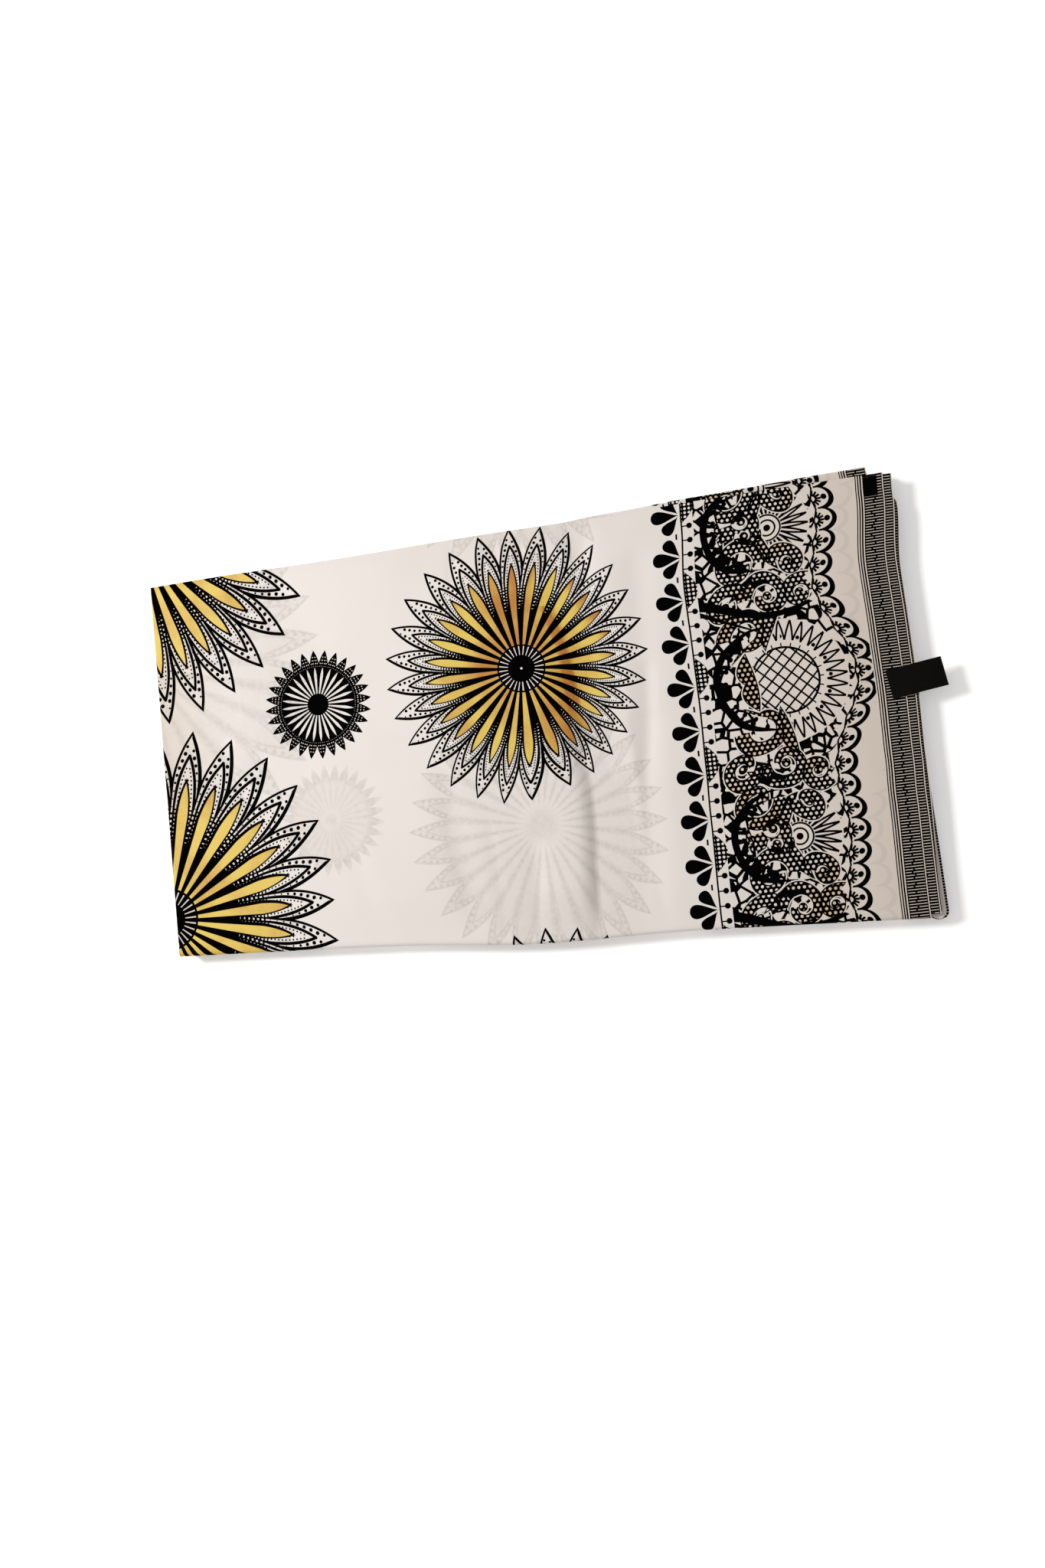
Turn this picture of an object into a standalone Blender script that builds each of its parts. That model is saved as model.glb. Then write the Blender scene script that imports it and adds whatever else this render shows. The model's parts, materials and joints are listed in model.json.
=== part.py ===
"""A six-yard length of printed cotton cloth, folded flat for sale and lying on a table.

The cloth is folded in half along its length, so every panel is a double layer with the
half fold on the left and both selvedges on the right. The double layer is then folded to
and fro into seventeen panels that lie on each other.

Frame: X runs along the cloth's width, from the half fold (-X) to the selvedges (+X).
Y runs along a panel, from the front fold (-Y) to the raw end (+Y). Z is up. The origin is
the middle of the underside. Lengths are in metres.
"""

import math
from typing import NamedTuple

import bmesh
import bpy

MM = 0.001

# Plan of the folded cloth
CLOTH_HALF_WIDTH = 585 * MM
PLAN_WIDTH = 616 * MM
PLAN_DEPTH = 343.4 * MM
FOLD_X = -PLAN_WIDTH / 2
SELVEDGE_X = FOLD_X + CLOTH_HALF_WIDTH
RAW_END_Y = PLAN_DEPTH / 2 - 7.2 * MM
FRONT_RIGHT_Y = -PLAN_DEPTH / 2
FRONT_LEFT_Y = FRONT_RIGHT_Y + 34 * MM

# Layers
WALL = 1.0 * MM
SEAM = 0.3 * MM
LAYER_OFFSET = 0.8 * MM
NOSE_RADIUS = 0.65 * MM
TURN_RADIUS = 1.45 * MM
PANEL_HALF = LAYER_OFFSET + WALL / 2
TURN_OUTER = TURN_RADIUS + PANEL_HALF
STACK_PANELS = 15
STACK_HEIGHT = 12.9 * MM
STACK_PANEL = STACK_HEIGHT / STACK_PANELS

# Heights, from the floor up
SECOND_TURN_Z = STACK_HEIGHT + SEAM
SECOND_Z = SECOND_TURN_Z + TURN_RADIUS
FRONT_TURN_LOW_Z = SECOND_Z + TURN_RADIUS
FRONT_TURN_HIGH_Z = FRONT_TURN_LOW_Z + SEAM
FIRST_Z = FRONT_TURN_HIGH_Z + TURN_RADIUS
TOP_Z = FIRST_Z + PANEL_HALF

# Label
LABEL_LENGTH = 41.5 * MM
LABEL_WIDTH = 22.2 * MM
LABEL_TURN = math.radians(8)
LABEL_CENTRE_Y = 5.5 * MM
LABEL_DROP = 3.6 * MM

CLOTH_COLOUR = (0.80, 0.76, 0.72, 1.0)
STACK_COLOUR = (0.72, 0.68, 0.64, 1.0)
LABEL_COLOUR = (0.012, 0.012, 0.012, 1.0)


class EdgeRow(NamedTuple):
    """One row of an edge's outline: a place along it, and how far it stands out there."""

    along: float
    out: float


class Puff(NamedTuple):
    """A place where the top layer stands off the one below, like a low pillow."""

    x: float
    y: float
    reach_x: float
    reach_y: float
    height: float


class Crease(NamedTuple):
    """A soft trough from one point to another."""

    x0: float
    y0: float
    x1: float
    y1: float
    width: float
    depth: float


# How far each selvedge stands out past the nominal one, by the place along Y
TOP_SELVEDGE = (
    EdgeRow(-171 * MM, -4.5 * MM),
    EdgeRow(-83 * MM, -2.4 * MM),
    EdgeRow(-54 * MM, -1.2 * MM),
    EdgeRow(0 * MM, 0.0),
    EdgeRow(45 * MM, -0.4 * MM),
    EdgeRow(94 * MM, -1.2 * MM),
    EdgeRow(150 * MM, 3.8 * MM),
    EdgeRow(165 * MM, 4.6 * MM),
)
SECOND_STEP = 7.0 * MM
THIRD_SELVEDGE = (
    EdgeRow(-171 * MM, 4.5 * MM),
    EdgeRow(-60 * MM, 8.0 * MM),
    EdgeRow(0 * MM, 9.4 * MM),
    EdgeRow(92 * MM, 9.0 * MM),
    EdgeRow(141 * MM, 13.0 * MM),
    EdgeRow(169 * MM, -7.0 * MM),
)
# How far the second panel's back fold stands out past the raw end, by the place along X
BACK_FOLD = (
    EdgeRow(0 * MM, -3.0 * MM),
    EdgeRow(310 * MM, 0.0),
    EdgeRow(384 * MM, 3.3 * MM),
    EdgeRow(448 * MM, 5.2 * MM),
    EdgeRow(555 * MM, 7.2 * MM),
)

# Puffs and creases of the top layer, from the half fold and from the middle of Y
PUFFS = (
    Puff(300 * MM, 10 * MM, 120 * MM, 150 * MM, 3.2 * MM),
    Puff(190 * MM, -80 * MM, 90 * MM, 80 * MM, 1.6 * MM),
    Puff(430 * MM, -60 * MM, 90 * MM, 110 * MM, 2.0 * MM),
    Puff(420 * MM, 110 * MM, 80 * MM, 60 * MM, 1.2 * MM),
    Puff(45 * MM, 40 * MM, 45 * MM, 60 * MM, 1.4 * MM),
)
CREASES = (
    Crease(356 * MM, 165 * MM, 354 * MM, 92 * MM, 20 * MM, 1.8 * MM),
    Crease(354 * MM, 92 * MM, 335 * MM, -28 * MM, 20 * MM, 1.9 * MM),
    Crease(335 * MM, -28 * MM, 344 * MM, -150 * MM, 15 * MM, 2.7 * MM),
    Crease(233 * MM, -30 * MM, 242 * MM, -135 * MM, 20 * MM, 1.5 * MM),
    Crease(296 * MM, -80 * MM, 289 * MM, -150 * MM, 14 * MM, 1.4 * MM),
    Crease(392 * MM, 120 * MM, 381 * MM, 0 * MM, 26 * MM, 1.2 * MM),
    Crease(381 * MM, 0 * MM, 375 * MM, -150 * MM, 24 * MM, 1.5 * MM),
    Crease(6 * MM, 62 * MM, 52 * MM, 30 * MM, 13 * MM, 1.1 * MM),
)
LIFT_FROM_FOLD = 22 * MM
LIFT_FROM_SELVEDGE = 20 * MM
LIFT_FROM_END = 14 * MM
LIFT_AT_FRONT = 0.35

# Columns of the sheets between the half fold and the selvedge: a zone's end, and its count
TOP_COLUMNS = ((190 * MM, 16), (415 * MM, 27), (585 * MM, 12))
UNDER_COLUMNS = ((190 * MM, 5), (415 * MM, 6), (585 * MM, 6))
TOP_ROWS = 18
UNDER_ROWS = 10
NOSE_STEPS = 3
TURN_STEPS = 5

# How far each of the stack's panels stands out at the selvedges, and each of its
# front and back folds falls short, from the top panel down
STACK_SELVEDGES = (8.0, 2.5, 6.5, 8.8, 4.0, 7.0, 1.5, 5.5, 8.4, 3.0, 6.0, 8.0, 2.0, 7.0, 4.5)
STACK_FRONTS = (0.8, 2.4, 0.4, 1.8, 3.0, 1.2, 2.2, 5.0)
STACK_BACKS = (1.5, 3.2, 0.8, 2.6, 1.6, 3.4, 1.0, 2.0)
STACK_NOTCH = 0.9 * MM
STACK_FOOT = 0.6 * MM
STACK_CORNER = 5 * MM
CORNER_STEPS = 3
STACK_SIDE_POINTS = 10
STACK_LONG_POINTS = 15


def smooth_step(value: float) -> float:
    """Go from 0 to 1 with level ends."""
    value = min(max(value, 0.0), 1.0)
    return value * value * (3 - 2 * value)


def edge_out(rows: tuple, along: float) -> float:
    """How far an edge stands out at a place along it, smooth between its rows."""
    if along <= rows[0].along:
        return rows[0].out
    for low, high in zip(rows, rows[1:]):
        if along <= high.along:
            share = smooth_step((along - low.along) / (high.along - low.along))
            return low.out + (high.out - low.out) * share
    return rows[-1].out


def front_y(x: float) -> float:
    """The outermost line of the front fold, which slants across the width."""
    share = min(max((x - FOLD_X) / CLOTH_HALF_WIDTH, 0.0), 1.0)
    return FRONT_LEFT_Y + (FRONT_RIGHT_Y - FRONT_LEFT_Y) * share


def back_fold_y(x: float) -> float:
    """The outermost line of the second panel's back fold."""
    return RAW_END_Y + edge_out(BACK_FOLD, x - FOLD_X)


def raw_end_y(x: float) -> float:
    """The top layer's raw end, a slightly wavy line."""
    return RAW_END_Y + 0.4 * MM * math.sin((x - FOLD_X) / (34 * MM))


def top_selvedge_x(y: float) -> float:
    """The top layer's selvedge."""
    return SELVEDGE_X + edge_out(TOP_SELVEDGE, y)


def second_selvedge_x(y: float) -> float:
    """The second layer's selvedge, a step outside the top one."""
    return top_selvedge_x(y) + SECOND_STEP


def third_selvedge_x(y: float) -> float:
    """The second panel's selvedge."""
    return SELVEDGE_X + edge_out(THIRD_SELVEDGE, y)


def crease_depth(crease: Crease, x: float, y: float) -> float:
    """How deep a crease is at a point: a trough with level sides and tapered ends."""
    run_x, run_y = crease.x1 - crease.x0, crease.y1 - crease.y0
    length = math.hypot(run_x, run_y)
    share = ((x - crease.x0) * run_x + (y - crease.y0) * run_y) / length ** 2
    share = min(max(share, 0.0), 1.0)
    away = math.hypot(x - crease.x0 - run_x * share, y - crease.y0 - run_y * share)
    return crease.depth * math.exp(-((away / (crease.width / 2)) ** 2))


def lift(x: float, y: float) -> float:
    """How far the top layer stands off its flat place."""
    across = x - FOLD_X
    height = 0.0
    for puff in PUFFS:
        away = math.hypot((across - puff.x) / puff.reach_x, (y - puff.y) / puff.reach_y)
        height += puff.height * math.exp(-away * away)
    height -= max(crease_depth(crease, across, y) for crease in CREASES)
    height = max(height, 0.0)
    from_fold = smooth_step(across / LIFT_FROM_FOLD)
    from_selvedge = smooth_step((SELVEDGE_X - 18 * MM - x) / LIFT_FROM_SELVEDGE)
    from_end = smooth_step((RAW_END_Y - y) / LIFT_FROM_END)
    from_front = smooth_step((y - front_y(x)) / (40 * MM))
    at_front = LIFT_AT_FRONT + (1 - LIFT_AT_FRONT) * from_front
    return height * from_fold * from_selvedge * from_end * at_front


def spread(zones: tuple) -> list:
    """Shares of the width, at the columns that the zones ask for."""
    shares, start = [], 0.0
    for end, count in zones:
        shares += [start + (end - start) * (i + 1) / count for i in range(count)]
        start = end
    return [share / CLOTH_HALF_WIDTH for share in shares]


def half_section(side: int, zones: tuple) -> list:
    """One layer's section, from the half fold's middle to the selvedge.

    Each point is a share of the width, a distance in from the fold's outer line and a
    height off the panel's middle plane. Side is 1 for the upper layer, -1 for the lower.
    """
    nose_in = NOSE_RADIUS + WALL / 2
    points = []
    for i in range(NOSE_STEPS + 1):
        turn = math.pi / 2 * i / NOSE_STEPS
        inset = nose_in - NOSE_RADIUS * math.cos(turn)
        height = SEAM / 2 + NOSE_RADIUS * math.sin(turn)
        points.append((0.0, inset, side * height))
    points += [(share, 0.0, side * LAYER_OFFSET) for share in spread(zones)]
    return points


def panel_section(zones: tuple) -> list:
    """Both layers' section: lower selvedge, half fold, upper selvedge."""
    return half_section(-1, zones)[::-1] + half_section(1, zones)


def section_x(point: tuple, y: float, selvedge) -> float:
    """Where a section's point lies across the width at a place along Y."""
    share, inset, _ = point
    return FOLD_X + inset + (selvedge(y) - FOLD_X) * share


def first_panel_rows(section: list, selvedge, raised: bool) -> list:
    """The first panel's sheet: from the raw end to the front, and down round the fold."""
    rows = []
    for i in range((TOP_ROWS if raised else UNDER_ROWS) + 1):
        along = i / (TOP_ROWS if raised else UNDER_ROWS)
        row = []
        for point in section:
            x = section_x(point, RAW_END_Y * (1 - along) + FRONT_RIGHT_Y * along, selvedge)
            y = raw_end_y(x) * (1 - along) + (front_y(x) + TURN_OUTER) * along
            up = lift(x, y) if raised else 0.0
            row.append((x, y, FIRST_Z + point[2] + up))
        rows.append(row)
    for i in range(1, TURN_STEPS + 1):
        turn = math.pi / 2 * i / TURN_STEPS
        row = []
        for point, (x, _, _) in zip(section, rows[TOP_ROWS if raised else UNDER_ROWS]):
            centre_y = front_y(x) + TURN_OUTER
            reach = TURN_RADIUS + point[2]
            up = lift(x, centre_y) * (1 - i / TURN_STEPS) if raised else 0.0
            y = centre_y - reach * math.sin(turn)
            row.append((x, y, FRONT_TURN_HIGH_Z + reach * math.cos(turn) + up))
        rows.append(row)
    return rows


def second_panel_rows(section: list, selvedge) -> list:
    """The second panel's sheet: up from the front fold, back, and down at the back fold."""
    rows = []
    for i in range(TURN_STEPS):
        turn = math.pi / 2 * (1 + i / TURN_STEPS)
        row = []
        for point in section:
            x = section_x(point, FRONT_RIGHT_Y, selvedge)
            reach = TURN_RADIUS - point[2]
            y = front_y(x) + TURN_OUTER - reach * math.sin(turn)
            row.append((x, y, FRONT_TURN_LOW_Z + reach * math.cos(turn)))
        rows.append(row)
    for i in range(UNDER_ROWS + 1):
        along = i / UNDER_ROWS
        row = []
        for point in section:
            x = section_x(point, FRONT_RIGHT_Y * (1 - along) + RAW_END_Y * along, selvedge)
            start, end = front_y(x) + TURN_OUTER, back_fold_y(x) - TURN_OUTER
            row.append((x, start + (end - start) * along, SECOND_Z + point[2]))
        rows.append(row)
    last = rows[-1]
    for i in range(1, TURN_STEPS + 1):
        turn = math.pi / 2 * i / TURN_STEPS
        row = []
        for point, (x, _, _) in zip(section, last):
            reach = TURN_RADIUS + point[2]
            y = back_fold_y(x) - TURN_OUTER + reach * math.sin(turn)
            row.append((x, y, SECOND_TURN_Z + reach * math.cos(turn)))
        rows.append(row)
    return rows


def make_material(name: str, colour: tuple, roughness: float, sheen: float):
    """A plain cloth finish."""
    material = bpy.data.materials.new(name)
    material.use_nodes = True
    shader = material.node_tree.nodes["Principled BSDF"]
    shader.inputs["Base Color"].default_value = colour
    shader.inputs["Roughness"].default_value = roughness
    shader.inputs["Metallic"].default_value = 0.0
    shader.inputs["Sheen Weight"].default_value = sheen
    return material


def add_object(name: str, mesh, collection, material):
    """Put a mesh in the model as a named object with its finish."""
    mesh.materials.append(material)
    mesh.shade_smooth()
    mesh.set_sharp_from_angle(angle=math.radians(50))
    obj = bpy.data.objects.new(name, mesh)
    collection.objects.link(obj)
    return obj


def add_sheet(name: str, rows: list, collection, material):
    """A wall of cloth: an open surface through the rows, given its thickness."""
    mesh = bpy.data.meshes.new(name)
    shape = bmesh.new()
    grid = [[shape.verts.new(point) for point in row] for row in rows]
    for row, following in zip(grid, grid[1:]):
        for i in range(len(row) - 1):
            shape.faces.new((row[i], following[i], following[i + 1], row[i + 1]))
    bmesh.ops.recalc_face_normals(shape, faces=shape.faces)
    shape.to_mesh(mesh)
    shape.free()
    obj = add_object(name, mesh, collection, material)
    wall = obj.modifiers.new("Wall", "SOLIDIFY")
    wall.thickness = WALL
    wall.offset = 0.0
    wall.use_even_offset = True
    return obj


def stack_levels() -> list:
    """The stack's rings from the floor up, each with its height and its four insets.

    Every panel has a crest at its middle and a notch where it meets the next one. The
    front and back folds each join two panels, one panel apart from each other.
    """
    levels = []
    for k in range(2 * STACK_PANELS + 1):
        height = STACK_HEIGHT * k / (2 * STACK_PANELS)
        notch = k % 2 == 0
        from_top = (2 * STACK_PANELS - k) / 2
        upper = min(max(int(from_top), 0), STACK_PANELS - 1)
        above = max(upper - 1, 0) if notch else upper
        out = min(STACK_SELVEDGES[upper], STACK_SELVEDGES[above]) * MM
        front = fold_inset(from_top, 1.0, STACK_FRONTS)
        back = fold_inset(from_top, 0.0, STACK_BACKS)
        side_notch = STACK_NOTCH if notch else 0.0
        foot = STACK_FOOT if k == 0 else 0.0
        levels.append((height, side_notch + foot, out - side_notch - foot, front + foot, back + foot))
    return levels


def fold_inset(from_top: float, first_middle: float, table: tuple) -> float:
    """How far a fold that joins two panels falls short at a level, with a round nose."""
    pair = int((from_top - first_middle + 1) // 2)
    away = from_top - first_middle - 2 * pair
    inset = STACK_PANEL * (1 - math.sqrt(max(1 - away * away, 0.0)))
    return table[min(pair, len(table) - 1)] * MM + inset


def corner_arc(x: float, y: float, turn_from: float) -> list:
    """A quarter circle round a corner's centre, going anticlockwise from an angle."""
    points = []
    for i in range(CORNER_STEPS + 1):
        turn = turn_from + math.pi / 2 * i / CORNER_STEPS
        points.append((x + STACK_CORNER * math.cos(turn), y + STACK_CORNER * math.sin(turn)))
    return points


def between(start: tuple, end: tuple, count: int) -> list:
    """Points strictly between two others."""
    return [(start[0] + (end[0] - start[0]) * (i + 1) / (count + 1),
             start[1] + (end[1] - start[1]) * (i + 1) / (count + 1)) for i in range(count)]


def stack_ring(level: tuple) -> list:
    """One level's outline, anticlockwise from the front left corner."""
    height, left_in, right_out, front_in, back_in = level
    left = FOLD_X + left_in + STACK_CORNER
    right = SELVEDGE_X + right_out - STACK_CORNER
    back = RAW_END_Y - back_in - STACK_CORNER
    front_left = front_y(left) + front_in + STACK_CORNER
    front_right = front_y(right) + front_in + STACK_CORNER
    corners = (
        corner_arc(left, front_left, math.pi),
        corner_arc(right, front_right, 1.5 * math.pi),
        corner_arc(right, back, 0.0),
        corner_arc(left, back, 0.5 * math.pi),
    )
    counts = (STACK_LONG_POINTS, STACK_SIDE_POINTS, STACK_LONG_POINTS, STACK_SIDE_POINTS)
    ring = []
    for i, (corner, count) in enumerate(zip(corners, counts)):
        ring += corner
        ring += between(corner[-1], corners[(i + 1) % 4][0], count)
    return [(x, y, height) for x, y in ring]


def add_stack(collection, material):
    """The hidden panels as one solid with layered edges and a flat underside."""
    mesh = bpy.data.meshes.new("folded_stack")
    shape = bmesh.new()
    rings = [[shape.verts.new(point) for point in stack_ring(level)] for level in stack_levels()]
    for low, high in zip(rings, rings[1:]):
        for i in range(len(low)):
            j = (i + 1) % len(low)
            shape.faces.new((low[i], low[j], high[j], high[i]))
    shape.faces.new(rings[0][::-1])
    shape.faces.new(rings[-1])
    shape.to_mesh(mesh)
    shape.free()
    return add_object("folded_stack", mesh, collection, material)


def label_point(along: float, across: float) -> tuple:
    """A point of the label's middle surface, which bends down past the selvedges."""
    corner = LABEL_LENGTH / 2 * math.cos(LABEL_TURN) + LABEL_WIDTH / 2 * math.sin(LABEL_TURN)
    x = PLAN_WIDTH / 2 - corner + along * math.cos(LABEL_TURN) - across * math.sin(LABEL_TURN)
    y = LABEL_CENTRE_Y + along * math.sin(LABEL_TURN) + across * math.cos(LABEL_TURN)
    past = max(x - SELVEDGE_X - 2 * MM, 0.0) / (PLAN_WIDTH / 2 - SELVEDGE_X)
    return x, y, TOP_Z + SEAM + WALL / 2 - LABEL_DROP * past ** 1.5


def label_rows() -> list:
    """The label's surface, row by row across its width."""
    steps, rows = 12, []
    for i in range(5):
        across = LABEL_WIDTH * (0.5 - i / 4)
        rows.append([label_point(LABEL_LENGTH * (j / steps - 0.5), across) for j in range(steps + 1)])
    return rows


def main() -> None:
    """Build the five pieces."""
    for obj in list(bpy.data.objects):
        bpy.data.objects.remove(obj, do_unlink=True)
    collection = bpy.data.collections.new("ankara_fabric")
    bpy.context.scene.collection.children.link(collection)
    cloth = make_material("printed_cotton", CLOTH_COLOUR, 0.55, 0.3)
    edges = make_material("folded_edges", STACK_COLOUR, 0.65, 0.3)
    black = make_material("label_black", LABEL_COLOUR, 0.6, 0.0)

    upper = half_section(1, TOP_COLUMNS)
    lower = half_section(-1, UNDER_COLUMNS)
    both = panel_section(UNDER_COLUMNS)
    add_sheet("top_leaf", first_panel_rows(upper, top_selvedge_x, True), collection, cloth)
    add_sheet("second_leaf", first_panel_rows(lower, second_selvedge_x, False), collection, cloth)
    add_sheet("third_leaf", second_panel_rows(both, third_selvedge_x), collection, cloth)
    add_stack(collection, edges)
    add_sheet("label", label_rows(), collection, black)


main()
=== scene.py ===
"""Looks of a folded length of printed cotton: its thin folded sheets, print, label and light."""

from __future__ import annotations

import json
import logging
import math
from dataclasses import dataclass
from enum import Enum
from typing import Callable, Sequence

import bpy
import numpy as np
from mathutils import Matrix, Vector, noise

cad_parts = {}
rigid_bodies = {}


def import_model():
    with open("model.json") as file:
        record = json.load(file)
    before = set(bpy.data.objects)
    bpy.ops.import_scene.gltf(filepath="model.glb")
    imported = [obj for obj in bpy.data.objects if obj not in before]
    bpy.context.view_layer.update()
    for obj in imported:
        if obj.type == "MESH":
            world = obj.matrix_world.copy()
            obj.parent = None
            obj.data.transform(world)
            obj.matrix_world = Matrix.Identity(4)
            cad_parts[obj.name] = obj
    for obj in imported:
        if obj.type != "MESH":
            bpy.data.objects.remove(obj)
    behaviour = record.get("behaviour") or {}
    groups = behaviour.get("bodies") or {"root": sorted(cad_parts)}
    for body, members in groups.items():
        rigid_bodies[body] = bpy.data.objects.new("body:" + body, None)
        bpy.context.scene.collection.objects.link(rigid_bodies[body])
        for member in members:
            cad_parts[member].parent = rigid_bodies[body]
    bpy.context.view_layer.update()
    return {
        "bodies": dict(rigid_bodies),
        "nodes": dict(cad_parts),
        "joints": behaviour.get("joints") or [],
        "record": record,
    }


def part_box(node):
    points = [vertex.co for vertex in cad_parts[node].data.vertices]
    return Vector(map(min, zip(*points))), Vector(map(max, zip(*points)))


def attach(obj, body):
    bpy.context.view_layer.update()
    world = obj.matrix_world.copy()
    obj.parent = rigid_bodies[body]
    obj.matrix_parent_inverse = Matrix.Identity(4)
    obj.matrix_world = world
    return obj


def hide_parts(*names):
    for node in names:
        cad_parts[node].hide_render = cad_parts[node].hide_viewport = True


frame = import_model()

LOG = logging.getLogger("folded_cloth")
MM = 0.001

# The plan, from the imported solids
TOP_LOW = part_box("top_leaf")[0]
PLAN_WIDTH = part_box("label")[1].x - TOP_LOW.x
PLAN_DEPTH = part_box("third_leaf")[1].y - TOP_LOW.y
FOLD_X = -PLAN_WIDTH / 2
FRONT_RIGHT_Y = -PLAN_DEPTH / 2
STACK_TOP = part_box("folded_stack")[1].z

# The plan's driving sizes, as in the solids
CLOTH_HALF_WIDTH = 585 * MM
BACK_STRIP = 7.2 * MM
FRONT_SLANT = 34 * MM
SELVEDGE_X = FOLD_X + CLOTH_HALF_WIDTH
RAW_END_Y = PLAN_DEPTH / 2 - BACK_STRIP
FRONT_LEFT_Y = FRONT_RIGHT_Y + FRONT_SLANT
SEAM = 0.3 * MM
TURN_RADIUS = 1.45 * MM
PANEL_HALF = 1.3 * MM
TURN_OUTER = TURN_RADIUS + PANEL_HALF
FIRST_Z = STACK_TOP + 2 * SEAM + 3 * TURN_RADIUS
TOP_Z = FIRST_Z + PANEL_HALF
STACK_PANELS = 15

# The thin cloth itself, and the stretch of its width where the creases take some up
CLOTH = 0.45 * MM
TAKE_UP = 10 * MM
TAKE_UP_FROM = 325 * MM
TAKE_UP_RUN = 75 * MM
FLAT_HALF_WIDTH = CLOTH_HALF_WIDTH + TAKE_UP
PANEL_LENGTH = 323 * MM


@dataclass(frozen=True)
class EdgeRow:
    """A place along an edge, and how far the edge stands out there."""

    along: float
    out: float


@dataclass(frozen=True)
class Puff:
    """A place where the top sheet stands off the one below."""

    x: float
    y: float
    reach_x: float
    reach_y: float
    height: float


@dataclass(frozen=True)
class Crease:
    """A soft trough from one point to another; a steep one has a sharp line and a long slope."""

    x0: float
    y0: float
    x1: float
    y1: float
    width: float
    depth: float
    steep: bool = False


def smooth_step(value: float) -> float:
    """Go from 0 to 1 with level ends."""
    value = min(max(value, 0.0), 1.0)
    return value * value * (3 - 2 * value)


@dataclass(frozen=True)
class Fade:
    """How much of the lift is left near an edge: a least share that grows to all of it."""

    least: float
    reach: float
    margin: float = 0.0

    def at(self, distance: float) -> float:
        """The share at a distance from the edge."""
        return self.least + (1 - self.least) * smooth_step((distance - self.margin) / self.reach)


def in_metres(kind: type, rows: Sequence[tuple]) -> tuple:
    """One object of a kind for each row, whose numbers are in millimetres."""
    return tuple(kind(*(value if value is True else value * MM for value in row)) for row in rows)


# The edges: place along the edge, and how far it stands out
TOP_SELVEDGE = in_metres(EdgeRow, (
    (-171, -4.5), (-83, -2.4), (-54, -1.2), (0, 0.0),
    (45, -0.4), (94, -1.2), (150, 3.8), (165, 4.6),
))
THIRD_SELVEDGE = in_metres(EdgeRow, (
    (-171, 4.5), (-60, 8.0), (0, 9.4), (92, 9.0), (141, 13.0), (169, -7.0),
))
BACK_FOLD = in_metres(EdgeRow, ((0, -3.0), (310, 0.0), (384, 3.3), (448, 5.2), (555, 7.2)))
SECOND_STEP = 7.0 * MM

# The top sheet's relief: distance from the half fold and place along the panel come first
PUFFS = in_metres(Puff, (
    (300, 10, 120, 150, 3.2),
    (190, -80, 90, 80, 1.6),
    (430, -60, 90, 110, 2.0),
    (420, 110, 80, 60, 1.2),
    (45, 40, 45, 60, 1.4),
    (326, -86, 30, 66, 2.2),
    (322, -138, 26, 34, 2.6),
))
CREASES = in_metres(Crease, (
    (356, 165, 354, 92, 20, 1.8),
    (331, 100, 340, 60, 15, 1.6, True),
    (340, 60, 341, -22, 15, 2.4, True),
    (341, -22, 346, -54, 15, 4.0, True),
    (346, -54, 344, -106, 16, 5.0, True),
    (344, -106, 341, -162, 17, 5.6, True),
    (232, -30, 244, -130, 22, 1.1),
    (296, -80, 289, -150, 16, 0.8),
    (398, 120, 390, 0, 24, 1.3),
    (390, 0, 381, -150, 24, 2.1),
    (6, 62, 52, 30, 13, 1.1),
))
# Finer creases that only the thin cloth shows
FINE_CREASES = in_metres(Crease, (
    (340, 60, 341, -22, 12, 0.7, True),
    (341, -22, 346, -54, 12, 1.3, True),
    (346, -54, 344, -106, 12, 2.1, True),
    (344, -106, 341, -158, 13, 2.1, True),
    (397, 40, 393, -5, 11, 0.9),
    (393, -5, 384, -50, 11, 0.9),
    (384, -50, 378, -112, 11, 0.8),
    (229, -50, 241, -140, 11, 0.25),
    (296, -100, 289, -158, 8, 0.4),
    (254, 158, 250, 113, 8, 0.5),
    (287, 168, 290, 138, 7, 0.7),
    (300, 166, 309, 146, 6, 0.5),
    (18, 44, 46, 8, 7, 0.5),
    (30, 70, 66, 52, 8, 0.4),
    (262, -70, 268, -150, 9, 0.4),
    (520, 90, 500, -40, 26, 0.5),
    (150, -60, 168, -140, 18, 0.4),
    (110, 150, 140, 90, 22, 0.3),
))
# A steep crease: its reach in widths and its slope's power, and how much more on the right
STEEP_REACH = 2.25
STEEP_REACH_RIGHT = 1.25
STEEP_POWER = 1.5
STEEP_POWER_RIGHT = 0.5
WAVE_HEIGHT = 0.35 * MM
WAVE_LENGTH = 42 * MM
WAVE_STRETCH = 1.7
LEAST_LIFT = 0.4 * MM
AT_FOLD = Fade(0.35, 70 * MM)
AT_SELVEDGE = Fade(0.0, 20 * MM, 18 * MM)
AT_RAW_END = Fade(0.12, 14 * MM)
AT_FRONT = Fade(0.35, 40 * MM)

# The front fold's bulge, and the raw end's slow waver with its frayed look
BULGE = 4.3 * MM
BULGE_X = -20 * MM
BULGE_REACH = 78 * MM
WAVER = 0.4 * MM
WAVER_LENGTH = 34 * MM
FRAY = 0.25 * MM
FRAY_LENGTH = 3 * MM


def edge_out(rows: Sequence[EdgeRow], along: float) -> float:
    """Read how far an edge stands out.

    Args:
        rows: The edge's rows, in order.
        along: The place along the edge.

    Returns:
        The distance in metres, smooth between the rows.
    """
    if along <= rows[0].along:
        return rows[0].out
    for low, high in zip(rows, rows[1:]):
        if along <= high.along:
            share = smooth_step((along - low.along) / (high.along - low.along))
            return low.out + (high.out - low.out) * share
    return rows[-1].out


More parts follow.
